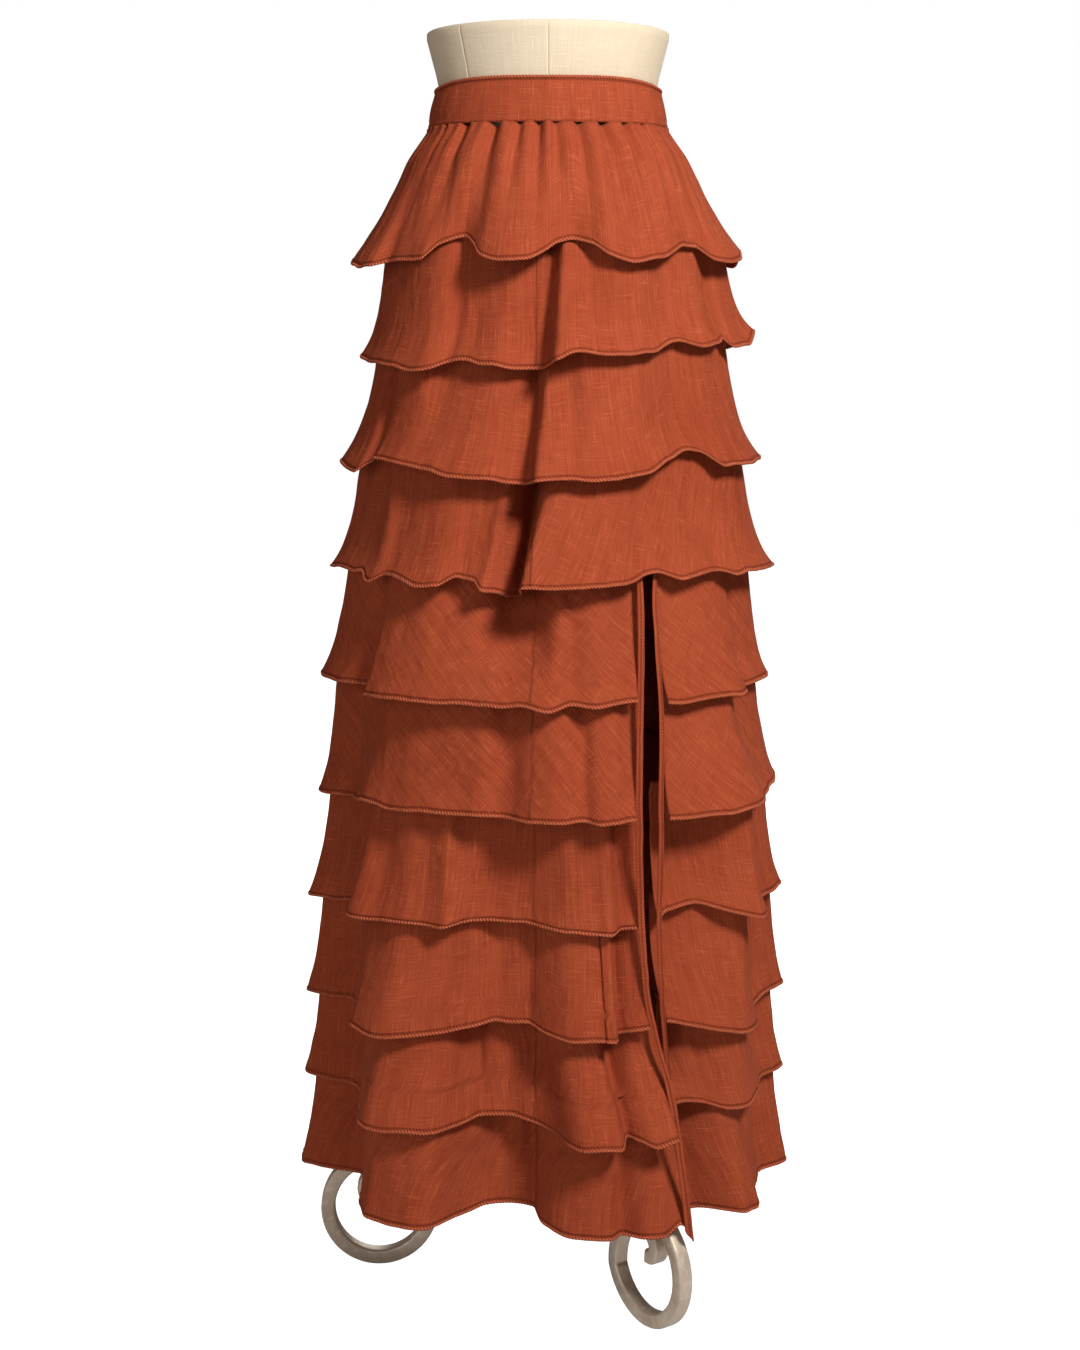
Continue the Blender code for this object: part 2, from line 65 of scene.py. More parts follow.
# The cut of the skirt, in metres and degrees, folds in millimetres
skirt = {
    "clear": 0.0042,          # least distance between the faces of two tiers
    "cloth": 0.0009,          # thickness of the linen
    "rows": 26,               # rows of points down a tier
    "seamRise": 0.003,        # how much higher the waist seam lies at the sides
    "growth": (2.4, 1.3, 5),  # powers by which gathers, folds and the hem's flare grow downwards
    # degrees by which the middle fold of each tier wanders from hem to seam, and its width
    "drift": (0, 4.5, 5.0, 8.5, 0, 0, 0, 0, -5, 0), "driftWidth": 22,
    # height, half width, half depth of the body line
    "bodyLine": (
        (1.118, 0.1156, 0.0900), (1.088, 0.1350, 0.1065), (1.035, 0.1515, 0.1240),
        (0.998, 0.1598, 0.1330), (0.903, 0.1709, 0.1425), (0.801, 0.1856, 0.1541),
        (0.698, 0.1989, 0.1648), (0.590, 0.2089, 0.1725), (0.483, 0.2173, 0.1793),
        (0.379, 0.2238, 0.1847), (0.276, 0.2298, 0.1895), (0.193, 0.2352, 0.1937),
        (0.096, 0.2407, 0.1975)),
    # seam height, hem height, hem flare, share of the folds at the seam, back fold size and turn
    "tiers": (
        (1.118, 0.998, 0.000, 0.00, 0.7, 0.0),
        (1.027, 0.903, 0.016, 0.55, 0.8, 9.0),
        (0.933, 0.801, 0.018, 0.55, 0.8, -7.0),
        (0.831, 0.698, 0.018, 0.60, 0.9, 5.0),
        (0.728, 0.590, 0.012, 0.75, 0.9, -8.0),
        (0.621, 0.483, 0.010, 0.80, 1.1, -12.0),
        (0.514, 0.379, 0.010, 0.85, 1.3, -9.0),
        (0.410, 0.276, 0.008, 0.85, 1.5, -13.0),
        (0.308, 0.193, 0.006, 0.90, 1.6, -11.0),
        (0.222, 0.102, 0.005, 0.90, 1.7, -14.0)),
    # folds of each hem: angle from the front, reach past the body line, lift of the hem
    "frontFolds": (
        ((-100, 27, -3), (-90, 27, 0), (-80, 30, -6), (-67, 30, -11), (-61, 28, -11),
         (-58, 14, -7), (-50, 14, -6), (-41, 16, -7), (-38, 4, 6), (-30, -4, 14), (-25, 4, 7),
         (-20, 16, -5), (-12, 20, -11), (-6, 18, -9), (-1, 8, -2), (4, 0, 8), (9, -4, 11),
         (14, 2, 7), (19, 12, -4), (25, 16, -9), (33, 14, -7), (42, 8, -1), (52, 2, 6),
         (59, 2, 7), (62, 16, -5), (70, 22, -6), (80, 28, 0), (90, 27, 6), (100, 24, -6)),
        ((-90, 11, 2), (-80, 11, 0), (-66, 10, -5), (-52, 12, -8), (-40, 14, -13), (-36, 10, -11),
         (-32, -2, -5), (-26, -2, -4), (-20, 2, -8), (-16, 3, -9), (-10, -4, -12), (-6, -11, -13),
         (-2, -11, -12), (2.5, 26, -4), (8, 20, 3), (14, 14, 1), (24, 14, 1), (30, 12, 3),
         (38, 4, 9), (46, -2, 15), (54, 6, 10), (63, 10, 12), (70, 8, 17), (73, 16, 10),
         (82, 26, 12), (90, 33, 27), (101, 26, 14)),
        ((-90, 17, 2), (-72, 14, -4), (-66, 14, -6), (-62, 2, 5), (-57, 9, 8), (-46, 10, 4),
         (-38, 8, 0), (-28, 10, -6), (-20, 8, -9), (-15, 0, -11), (-10.5, -3, -13), (-7, -7, -13),
         (-3, 26, -9), (1, 24, -8), (6, 16, -7), (12, 17, -9), (20, 16, -8), (28, 12, -2),
         (36, 4, 8), (44, -2, 15), (50, -2, 15), (54, 4, 9), (57, 12, 2), (64, 16, 1),
         (78, 20, 3), (90, 22, 6)),
        ((-90, 14, 3), (-75, 4, 4), (-62, 1, 4), (-53, 10, -3), (-48, 4, 4), (-42, 8, 3),
         (-34, 12, -3), (-29, 10, -3), (-25, -2, 6), (-20, 0, 4), (-17, 8, -4), (-14, -6, -7),
         (-11.5, -24, -12), (-9, -38, -13), (-6, 27, -1), (0, 28, 0), (12, 24, 0), (18, 19, 1),
         (22, 12, 4), (26, 5, 8), (30, 5, 10), (36, 14, 4), (44, 10, 6), (50, 8, 8), (57, 14, 4),
         (66, 16, 5), (80, 20, 4), (90, 22, 3)),
        ((-90, 14, 3), (-70, 0, 4), (-60, -12, 4), (-52, 8, 0), (-40, 10, 0), (-28, 8, 0),
         (-20, 6, 0), (-8, 9, 0), (0, 16, -3), (6, 6, 0), (12, 12, 0), (20, 8, 2), (28, 10, 0),
         (34, 14, 0), (44, 10, 0), (54, 12, 0), (60, 8, 0), (64, -5, 2), (72, 0, 3), (90, 8, 5)),
        ((-90, 9, -4), (-80, -5, -3), (-73, -20, -2), (-64, -12, 2), (-52, -6, 3), (-40, -6, 3),
         (-28, -8, 3), (-18, -6, 4), (-12, -12, 4), (-4, 6, 2), (3, 14, 2), (9, 4, 3),
         (12, 14, 2), (16, 16, 2), (20, 10, 3), (26, 15, 2), (32, 20, 2), (38, 20, 2),
         (46, 26, 3), (53, 28, 4), (66, 10, 8), (72, 8, 10), (90, 7, 14)),
        ((-90, 13, -6), (-80, -8, -3), (-70, -25, 0), (-56, 2, 0), (-48, -8, 0), (-40, -10, 0),
         (-34, -18, 0), (-28, -14, 0), (-24, -30, 3), (-16, -38, 6), (-8, -36, 6), (0, -22, 4),
         (5, -10, 2), (11, -6, 2), (15, -1, 2), (18.5, -15, 3), (22, -8, 4), (26, -2, 4),
         (29, -14, 7), (33, -20, 14), (42, -20, 16), (48, -6, 10), (52, 10, 5), (56, 20, 0),
         (60, 15, 0), (70, -6, 5), (90, 8, 7)),
        ((-90, 10, 0), (-84, -8, 0), (-78, -35, 0), (-70, -32, 0), (-52, 2, 0), (-42, 8, 0),
         (-36, -2, 2), (-28, -20, 6), (-20, -34, 10), (-14, -44, 14), (-6, -42, 14), (0, -20, 10),
         (6, -2, 9), (12, 2, 9), (15.5, 7, 9), (17.5, -16, 10), (20.5, -8, 14), (26, 0, 18),
         (30, -16, 16), (38, -10, 8), (45, 0, 2), (54, 2, -6), (62, -4, -8), (72, -20, 0),
         (82, -6, 8), (90, 5, 10)),
        ((-90, 7, 0), (-83, -14, 0), (-77, -38, 0), (-69, -40, 0), (-52, -6, 0), (-42, 14, 0),
         (-36, 12, 0), (-31, 3, 0), (-27, -10, 0), (-25, -30, 0), (-20, -55, 4), (-12, -60, 4),
         (-4, -48, 2), (2, -28, 0), (5, 3, 0), (8, 19, 0), (12, 22, 0), (15, 22, 0), (18, -2, 4),
         (20, 10, 2), (22.5, 22, -3), (26, 24, 2), (30, 14, 4), (36, -30, 16), (44, -26, 12),
         (50, -12, 4), (56, -6, 2), (66, -14, 4), (76, -21, 6), (90, -1, 6)),
        ((-90, 7, 0), (-84, -10, 0), (-78, -42, 0), (-72, -50, 0), (-52, -15, 0), (-44, 0, 0),
         (-34, 0, 0), (-29, -7, 0), (-26, -46, 0), (-21, -74, 3), (-12, -82, 4), (-5, -76, 3),
         (-2, -46, 0), (4, -18, 0), (10, -8, 0), (14, -4, 0), (17.5, -14, 0), (21, 2, 0),
         (25, 9, 1), (28.5, 13, 12), (33, 8, 0), (38, -40, 0), (42, -38, 0), (46, -16, 0),
         (50, 4, 0), (55, 2, 0), (64, -20, 0), (79, -29, 0), (85, -10, 0), (90, -1, 0))),
    # the same columns for the back, counted from the middle of the back
    "backFolds": ((-66, -10, 0), (-48, 14, -3), (-30, -14, 5), (-10, 12, -2),
                  (10, -18, 6), (29, 14, -3), (49, -12, 4), (67, 8, 0)),
    "backLift": 0.7,
    # height, angle of the left and right edge of the slit, their reach past the body line
    "slit": (
        (0.719, 26.4, 30.6, -8, -8), (0.665, 25.3, 28.1, -1, 0), (0.590, 24.0, 28.1, 2, 4),
        (0.483, 22.6, 26.4, 3, 8), (0.379, 24.0, 27.5, -8, -8), (0.325, 24.9, 28.3, -8, -12),
        (0.276, 26.9, 29.9, -4, -18), (0.235, 28.7, 32.6, 4, -28), (0.193, 29.5, 35.2, 10, -36),
        (0.150, 30.2, 36.4, 13, -42), (0.099, 31.0, 38.2, 15, -48)),
    "slitBand": (1.7, 1.4), "slitGap": 0.25, "firstSlitTier": 4,
}


# A smooth line through points: on each stretch a cubic whose end slopes are the harmonic mean of
# the slopes on both sides, or nought at a crest or hollow, so it never overshoots.
def smoothLine(x, y, at):
    x, y = np.asarray(x, float), np.asarray(y, float)
    step = np.diff(x)
    slope = np.diff(y) / step
    turning = slope[:-1] * slope[1:] <= 0
    both = np.where(turning, 1, slope[:-1] + slope[1:])
    tangent = np.concatenate([slope[:1], np.where(turning, 0, 2 * slope[:-1] * slope[1:] / both),
                              slope[-1:]])
    i = np.clip(np.searchsorted(x, at, side="right") - 1, 0, len(step) - 1)
    u = np.clip((at - x[i]) / step[i], 0, 1)
    return ((1 + 2 * u) * (1 - u) ** 2 * y[i] + u * (1 - u) ** 2 * step[i] * tangent[i]
            + u * u * (3 - 2 * u) * y[i + 1] + u * u * (u - 1) * step[i] * tangent[i + 1])


def smoothRing(x, y, at):    # the same line, closed after 360 degrees
    x, y = np.asarray(x, float), np.asarray(y, float)
    x = np.concatenate([x[-3:] - 360, x, x[:3] + 360])
    y = np.concatenate([y[-3:], y, y[:3]])
    return smoothLine(x, y, (np.asarray(at, float) - x[3]) % 360 + x[3])


def easeStep(x):
    x = np.clip(x, 0, 1)
    return x * x * (3 - 2 * x)


# All folds of a tier in order of angle; those of the back are scaled and turned for each tier.
def foldRows(tier):
    size, turn = skirt["tiers"][tier][4:]
    back = [((a + turn) % 360 - 180, reach * size, lift * size * skirt["backLift"])
            for a, reach, lift in skirt["backFolds"]]
    return np.array(sorted(list(skirt["frontFolds"][tier]) + back), float)


def bodyHalf(height):         # half width and half depth of the body line
    line = np.array(skirt["bodyLine"][::-1])
    return smoothLine(line[:, 0], line[:, 1], height), smoothLine(line[:, 0], line[:, 2], height)


# Reach past the body line and height of a tier's point. Reach = fold reach x growth from the seam
# to the hem + flare of the hem; height = straight down from seam to hem + the lift of the fold.
def hangFree(tier, angle, down):
    top, hem, lip, kept = skirt["tiers"][tier][:4]
    rows = foldRows(tier)
    wrapped = (angle + 180) % 360 - 180
    wander = skirt["drift"][tier] * (1 - down) * np.exp(-(wrapped / skirt["driftWidth"]) ** 2)
    reach = smoothRing(rows[:, 0], rows[:, 1], angle - wander) / 1000
    lift = smoothRing(rows[:, 0], rows[:, 2], angle) / 1000
    height = top + (hem - top) * down + lift * down ** 2
    gatherGrowth, foldGrowth, lipGrowth = skirt["growth"]
    if tier == 0:
        rise = skirt["seamRise"] * np.sin(np.radians(angle)) ** 2 * (1 - down)
        return reach * down ** gatherGrowth, height + rise
    folds = kept + (1 - kept) * down ** foldGrowth
    return (reach - lip) * folds + lip * down ** lipGrowth, height


aroundSamples = np.linspace(-180, 180, 720, endpoint=False)
tightReach = 11


def widen(values):           # the largest value within reach of each angle, evened out
    reach = range(-tightReach, tightReach + 1)
    widest = np.max([np.roll(values, s) for s in reach], axis=0)
    weight = np.exp(-0.5 * (np.array(reach) / (tightReach / 2)) ** 2)
    padded = np.concatenate([widest[-tightReach:], widest, widest[:tightReach]])
    return np.convolve(padded, weight / weight.sum(), "valid")


# How far each tier is drawn in, at each angle, to lie under the tier above it: the largest of
# own reach - reach of the tier above at the same height + clearance, over the covered heights.
def tuckLines():
    tucks = [np.zeros(len(aroundSamples))]
    down, around = np.meshgrid(np.linspace(0, 1, 25), aroundSamples, indexing="ij")
    for tier in range(1, len(skirt["tiers"])):
        overReach, overHeight = hang(tier - 1, around, down, tucks)
        reach, height = hangFree(tier, around, down)
        row = np.clip(np.sum(overHeight[None] > height[:, None], axis=1), 1, len(down) - 1)
        high, low = (np.take_along_axis(overHeight, row - step, 0) for step in (1, 0))
        share = np.clip((high - height) / (high - low), 0, 1)
        above = (np.take_along_axis(overReach, row - 1, 0) * (1 - share)
                 + np.take_along_axis(overReach, row, 0) * share)
        need = np.where(height >= overHeight[-1], reach - above + skirt["clear"], -1).max(axis=0)
        tucks.append(np.maximum(widen(need), 0))
    return tucks


# The tier as it hangs: the free reach less its tuck, which eases out below the covered part.
def hang(tier, angle, down, tucks):
    reach, height = hangFree(tier, angle, down)
    if tier == 0:
        return reach, height
    tuck = np.interp((angle + 180) % 360 - 180, np.append(aroundSamples, 180),
                     np.append(tucks[tier], tucks[tier][0]))
    top, hem = skirt["tiers"][tier][:2]
    cover = (top - skirt["tiers"][tier - 1][1]) / (top - hem)
    return reach - tuck * (1 - easeStep((down - cover) / (1 - cover))), height


def onBody(reach, height, angle):    # world points; the angle runs from the front towards +X
    halfWidth, halfDepth = bodyHalf(height)
    a = np.radians(angle)
    return np.stack([(halfWidth + reach) * np.sin(a), -(halfDepth + reach) * np.cos(a),
                     height + 0 * a], axis=-1)


def slitEdges(height):        # angles of the slit's left and right edge
    rows = np.array(skirt["slit"][::-1])
    return smoothLine(rows[:, 0], rows[:, 1], height), smoothLine(rows[:, 0], rows[:, 2], height)


# Random heights on a lattice, joined by eased blends; u and v count cells and u closes at count.
def softNoise(u, v, count, seed):
    table = np.random.default_rng(seed).uniform(-1, 1, (count, 64))
    i, j = np.floor(u).astype(int), np.floor(v).astype(int)
    a, b = easeStep(u - i), easeStep(v - j)
    low = table[i % count, j % 64] * (1 - a) + table[(i + 1) % count, j % 64] * a
    high = table[i % count, (j + 1) % 64] * (1 - a) + table[(i + 1) % count, (j + 1) % 64] * a
    return low * (1 - b) + high * b


def unit(vectors):
    return vectors / np.maximum(np.linalg.norm(vectors, axis=-1, keepdims=True), 1e-9)


def lengthAlong(points):      # running length of a line of points
    step = np.linalg.norm(np.diff(points, axis=0), axis=-1)
    return np.concatenate([[0], np.cumsum(step)])


def outward(points):          # the way out of a grid: across the columns x down the rows
    across = np.gradient(points, axis=1)
    down = np.gradient(points, axis=0)
    return unit(np.cross(down, across))


# A mesh from a grid of points, rows down and columns across. Where a side is closed, its last
# line repeats the first. Maps hold a pair of numbers for every point, for the face corners.
def gridMesh(name, points, maps, closedAcross=False, closedDown=False, capEnds=False):
    rows, columns = points.shape[:2]
    keptRows, keptColumns = rows - closedDown, columns - closedAcross
    r, c = np.meshgrid(np.arange(rows - 1), np.arange(columns - 1), indexing="ij")
    cornerRow = np.stack([r, r + 1, r + 1, r], -1).reshape(-1)
    cornerColumn = np.stack([c, c, c + 1, c + 1], -1).reshape(-1)
    vertex = (cornerRow % keptRows) * keptColumns + cornerColumn % keptColumns
    starts = np.arange(0, len(vertex), 4)
    if capEnds:
        ring = np.arange(keptRows) * keptColumns
        starts = np.append(starts, [len(vertex), len(vertex) + keptRows])
        vertex = np.concatenate([vertex, ring, ring[::-1] + keptColumns - 1])
    mesh = bpy.data.meshes.new(name)
    mesh.vertices.add(keptRows * keptColumns)
    mesh.vertices.foreach_set("co", points[:keptRows, :keptColumns].reshape(-1))
    mesh.loops.add(len(vertex))
    mesh.loops.foreach_set("vertex_index", vertex)
    mesh.polygons.add(len(starts))
    mesh.polygons.foreach_set("loop_start", starts)
    mesh.update(calc_edges=True)
    for label, values in maps.items():
        pairs = np.zeros((len(vertex), 2))
        pairs[:len(cornerRow)] = values[cornerRow, cornerColumn]
        mesh.uv_layers.new(name=label).uv.foreach_set("vector", pairs.reshape(-1))
    mesh.validate()
    mesh.shade_smooth()
    return mesh


def place(name, mesh, finish, thickness=0.0):
    piece = bpy.data.objects.new(name, mesh)
    mesh.materials.append(finish)
    bpy.context.scene.collection.objects.link(piece)
    if thickness:
        wall = piece.modifiers.new("wall", "SOLIDIFY")
        wall.thickness = thickness
        wall.offset = -1.0
    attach(piece, "root")
    return piece


def faceOut(mesh, merge=0.0):      # turns every face outwards, after points closer than merge join
    shell = bmesh.new()
    shell.from_mesh(mesh)
    if merge:
        bmesh.ops.remove_doubles(shell, verts=shell.verts, dist=merge)
    bmesh.ops.recalc_face_normals(shell, faces=shell.faces)
    shell.to_mesh(mesh)
    shell.free()


# A profile carried along a line. Point = line + first axis x profile's first number + second axis
# x its second number; swell is a share by which the profile grows at each point.
def carried(name, line, firstAxis, secondAxis, profile, closed=False, swell=None, lengthMap=None):
    shape = np.concatenate([profile, profile[:1]])
    grow = np.ones((len(shape), len(line))) if swell is None else swell
    points = (line[None] + firstAxis[None] * (shape[:, 0, None] * grow)[..., None]
              + secondAxis[None] * (shape[:, 1, None] * grow)[..., None])
    around = np.linspace(0, 1, len(shape))[:, None] + np.zeros(len(line))
    along = (lengthAlong(line) if lengthMap is None else lengthMap)[None] + 0 * around
    mesh = gridMesh(name, points, {"edge": np.stack([along, around], -1)}, closedAcross=closed,
                    closedDown=True, capEnds=not closed)
    faceOut(mesh)
    return mesh


# Short ways to add the nodes that the finishes use
def mathNode(tree, operation, *values):
    node = tree.nodes.new("ShaderNodeMath")
    node.operation = operation
    for socket, value in zip(node.inputs, values):
        if isinstance(value, (int, float)):
            socket.default_value = value
        else:
            tree.links.new(value, socket)
    return node.outputs[0]


def scaled(tree, vector, x, y, z=1.0):
    node = tree.nodes.new("ShaderNodeVectorMath")
    node.operation = "MULTIPLY"
    tree.links.new(vector, node.inputs[0])
    node.inputs[1].default_value = (x, y, z)
    return node.outputs[0]


def noiseNode(tree, vector, scale, detail=1.0, roughness=0.5):
    node = tree.nodes.new("ShaderNodeTexNoise")
    tree.links.new(vector, node.inputs["Vector"])
    node.inputs["Scale"].default_value = scale
    node.inputs["Detail"].default_value = detail
    node.inputs["Roughness"].default_value = roughness
    return node.outputs[0]


def rangeNode(tree, value, low, high, toLow=0.0, toHigh=1.0):
    node = tree.nodes.new("ShaderNodeMapRange")
    node.inputs["From Min"].default_value = low
    node.inputs["From Max"].default_value = high
    node.inputs["To Min"].default_value = toLow
    node.inputs["To Max"].default_value = toHigh
    tree.links.new(value, node.inputs["Value"])
    return node.outputs[0]


def mixColour(tree, share, first, second, blend="MIX"):
    node = tree.nodes.new("ShaderNodeMix")
    node.data_type = "RGBA"
    node.blend_type = blend
    for socket, value in ((node.inputs[0], share), (node.inputs[6], first),
                          (node.inputs[7], second)):
        if isinstance(value, tuple):
            socket.default_value = (*value, 1.0)
        elif isinstance(value, float):
            socket.default_value = value
        else:
            tree.links.new(value, socket)
    return node.outputs[2]


def newGroup(name, inputs, outputs):
    group = bpy.data.node_groups.new(name, "ShaderNodeTree")
    for label, kind, value in inputs:
        socket = group.interface.new_socket(name=label, in_out="INPUT", socket_type=kind)
        if value is not None:
            socket.default_value = value
    for label in outputs:
        group.interface.new_socket(name=label, in_out="OUTPUT", socket_type="NodeSocketFloat")
    return (group, group.nodes.new("NodeGroupInput").outputs,
            group.nodes.new("NodeGroupOutput").inputs)


# Plain weave with uneven threads: streaks one thread wide and many threads long both ways for
# the slubs, and sine of one thread direction x sine of the other for the weave's relief.
def makeWeave():
    group, given, out = newGroup("weave", (("Cloth", "NodeSocketVector", None),
                                           ("Threads", "NodeSocketFloat", 1000.0),
                                           ("Slub", "NodeSocketFloat", 1.0)),
                                 ("Tone", "Height"))
    cloth = given["Cloth"]
    standing = noiseNode(group, scaled(group, cloth, 1.0, 0.045), 900.0, 1.0)
    lying = noiseNode(group, scaled(group, cloth, 0.045, 1.0), 900.0, 1.0)
    longer = noiseNode(group, scaled(group, cloth, 1.0, 0.02), 380.0, 1.0)
    cloudy = noiseNode(group, cloth, 60.0, 2.0)
    slubs = mathNode(group, "ADD", rangeNode(group, standing, 0.58, 0.74),
                     rangeNode(group, lying, 0.58, 0.74))
    thin = mathNode(group, "ADD", rangeNode(group, standing, 0.42, 0.26),
                    rangeNode(group, lying, 0.42, 0.26))
    tone = mathNode(group, "MULTIPLY_ADD", slubs, 0.42, 0.42)
    tone = mathNode(group, "MULTIPLY_ADD", thin, -0.13, tone)
    for pattern, size in ((longer, 0.10), (cloudy, 0.05)):
        spread = rangeNode(group, pattern, 0.3, 0.7, -1.0, 1.0)
        tone = mathNode(group, "MULTIPLY_ADD", spread, size, tone)
    middle = mathNode(group, "SUBTRACT", tone, 0.5)
    group.links.new(mathNode(group, "MULTIPLY_ADD", middle, given["Slub"], 0.5), out["Tone"])
    split = group.nodes.new("ShaderNodeSeparateXYZ")
    group.links.new(cloth, split.inputs[0])
    turns = mathNode(group, "MULTIPLY", given["Threads"], math.pi)
    across = mathNode(group, "SINE", mathNode(group, "MULTIPLY", split.outputs[0], turns))
    along = mathNode(group, "SINE", mathNode(group, "MULTIPLY", split.outputs[1], turns))
    relief = mathNode(group, "MULTIPLY", across, along)
    relief = mathNode(group, "MULTIPLY_ADD", relief, 0.35, mathNode(group, "MULTIPLY", slubs, 0.9))
    group.links.new(relief, out["Height"])
    return group


# A sewn line at a distance from an edge: a narrow band, broken into stitches along its length.
def makeSewnLine():
    group, given, out = newGroup("sewnLine", (("Edge", "NodeSocketVector", None),
                                              ("Distance", "NodeSocketFloat", 0.0045),
                                              ("Stitch", "NodeSocketFloat", 0.003)),
                                 ("Line", "Stitches"))
    split = group.nodes.new("ShaderNodeSeparateXYZ")
    group.links.new(given["Edge"], split.inputs[0])
    away = mathNode(group, "ABSOLUTE", mathNode(group, "SUBTRACT", split.outputs[1],
                                                given["Distance"]))
    line = rangeNode(group, away, 0.0014, 0.0004)
    share = mathNode(group, "FRACT", mathNode(group, "DIVIDE", split.outputs[0], given["Stitch"]))
    beat = mathNode(group, "ABSOLUTE", mathNode(group, "SUBTRACT", share, 0.5))
    stitches = mathNode(group, "MULTIPLY", rangeNode(group, beat, 0.08, 0.22, 0.25, 1.0), line)
    group.links.new(line, out["Line"])
    group.links.new(stitches, out["Stitches"])
    return group


# Thread wound over an edge: slanted ridges, one for each stitch along the edge.
def makeOverEdge():
    group, given, out = newGroup("overEdge", (("Edge", "NodeSocketVector", None),
                                              ("Stitch", "NodeSocketFloat", 0.0028)),
                                 ("Tone", "Height"))
    split = group.nodes.new("ShaderNodeSeparateXYZ")
    group.links.new(given["Edge"], split.inputs[0])
    lean = mathNode(group, "MULTIPLY_ADD", split.outputs[1], 2.0,
                    mathNode(group, "DIVIDE", split.outputs[0], given["Stitch"]))
    ridge = mathNode(group, "SINE", mathNode(group, "MULTIPLY", lean, 2 * math.pi))
    fuzz = noiseNode(group, scaled(group, given["Edge"], 1.0, 0.004), 900.0, 1.0)
    # Tone: painted highlight on each ridge's crest and painted shade between ridges, plus random
    # fuzz of the thread
    group.links.new(mathNode(group, "MULTIPLY_ADD", ridge, 0.36,
                             mathNode(group, "MULTIPLY_ADD", fuzz, 0.5, 0.25)), out["Tone"])
    group.links.new(mathNode(group, "MULTIPLY_ADD", ridge, 0.5, 0.5), out["Height"])
    return group


# Broad clouding of a colour over the whole piece.
def makeClouding():
    group, given, out = newGroup("clouding", (("Place", "NodeSocketVector", None),
                                              ("Size", "NodeSocketFloat", 9.0)), ("Tone",))
    node = group.nodes.new("ShaderNodeTexNoise")
    group.links.new(given["Place"], node.inputs["Vector"])
    group.links.new(given["Size"], node.inputs["Scale"])
    node.inputs["Detail"].default_value = 2.0
    group.links.new(rangeNode(group, node.outputs[0], 0.3, 0.7), out["Tone"])
    return group


weave, sewnLine, overEdge, clouding = makeWeave(), makeSewnLine(), makeOverEdge(), makeClouding()


def useGroup(tree, group, **values):
    node = tree.nodes.new("ShaderNodeGroup")
    node.node_tree = group
    for label, value in values.items():
        if isinstance(value, (int, float)):
            node.inputs[label].default_value = value
        else:
            tree.links.new(value, node.inputs[label])
    return node.outputs


def newFinish(name, roughness, **uniform):
    finish = bpy.data.materials.new(name)
    finish.use_nodes = True
    shader = finish.node_tree.nodes["Principled BSDF"]
    shader.inputs["Roughness"].default_value = roughness
    for label, value in uniform.items():
        shader.inputs[label.replace("_", " ")].default_value = value
    return finish, finish.node_tree, shader


def mapNode(tree, name):
    node = tree.nodes.new("ShaderNodeUVMap")
    node.uv_map = name
    return node.outputs[0]


def objectPlace(tree):
    return tree.nodes.new("ShaderNodeTexCoord").outputs["Object"]


def bumpInto(tree, shader, height, distance, strength=1.0):
    node = tree.nodes.new("ShaderNodeBump")
    node.inputs["Distance"].default_value = distance
    node.inputs["Strength"].default_value = strength
    tree.links.new(height, node.inputs["Height"])
    tree.links.new(node.outputs[0], shader.inputs["Normal"])


linenLook = {
    "dark": (0.215, 0.027, 0.009), "light": (0.545, 0.118, 0.050), "shade": (0.88, 0.82, 0.80),
    "thread": (0.13, 0.020, 0.008), "roughness": 0.93, "sheen": 0.02,
    # the edge's light colour is a painted highlight on the crests of its stitch ridges
    "sheenTint": (1.0, 0.55, 0.40, 1.0), "ridgeHighlight": (0.66, 0.155, 0.068),
    "threads": 1000.0, "slub": 1.0, "relief": 0.00030, "cloud": 7.0,
    "hemLine": 0.0036, "stitch": 0.0031,
}


# Woven colour: dark to light by the weave's tone, deepened in broad clouds.
def wovenColour(tree, cloth, look):
    cloud = useGroup(tree, clouding, Place=objectPlace(tree), Size=look["cloud"])
    colour = mixColour(tree, cloth["Tone"], look["dark"], look["light"])
    return mixColour(tree, cloud["Tone"], colour,
                     mixColour(tree, 1.0, colour, look["shade"], "MULTIPLY"))


# Linen: the weave's tone between a dark and a light colour, clouded, and darker on the sewn line.
def makeLinen(name, look):
    finish, tree, shader = newFinish(name, look["roughness"], Sheen_Weight=look["sheen"],
                                     Sheen_Roughness=0.5, Sheen_Tint=look["sheenTint"],
                                     Specular_IOR_Level=0.06)
    cloth = useGroup(tree, weave, Cloth=mapNode(tree, "cut"), Threads=look["threads"],
                     Slub=look["slub"])
    sewn = useGroup(tree, sewnLine, Edge=mapNode(tree, "edge"), Distance=look["hemLine"],
                    Stitch=look["stitch"])
    colour = mixColour(tree, mathNode(tree, "MULTIPLY", sewn["Stitches"], 0.75),
                       wovenColour(tree, cloth, look), look["thread"])
    tree.links.new(colour, shader.inputs["Base Color"])
    relief = mathNode(tree, "MULTIPLY_ADD", sewn["Line"], -1.6, cloth["Height"])
    bumpInto(tree, shader, relief, look["relief"])
    return finish


# Overlocked edge: thread wound over the cloth's edge; painted highlight on its ridges, shade
# between.
def makeEdgeThread(name, look):
    finish, tree, shader = newFinish(name, 0.8, Specular_IOR_Level=0.15)
    edge = useGroup(tree, overEdge, Edge=mapNode(tree, "edge"), Stitch=look["stitch"])
    # dark thread colour, painted as shade between the ridges, to a painted highlight colour on
    # their crests
    tree.links.new(mixColour(tree, edge["Tone"], look["thread"], look["ridgeHighlight"]),
                   shader.inputs["Base Color"])
    bumpInto(tree, shader, edge["Height"], 0.0004)
    return finish


canvasLook = {"dark": (0.56, 0.45, 0.31), "light": (0.86, 0.75, 0.58), "shade": (0.93, 0.90, 0.86),
              "roughness": 0.82, "threads": 1500.0, "slub": 0.55, "relief": 0.00012,
              "cloud": 11.0}


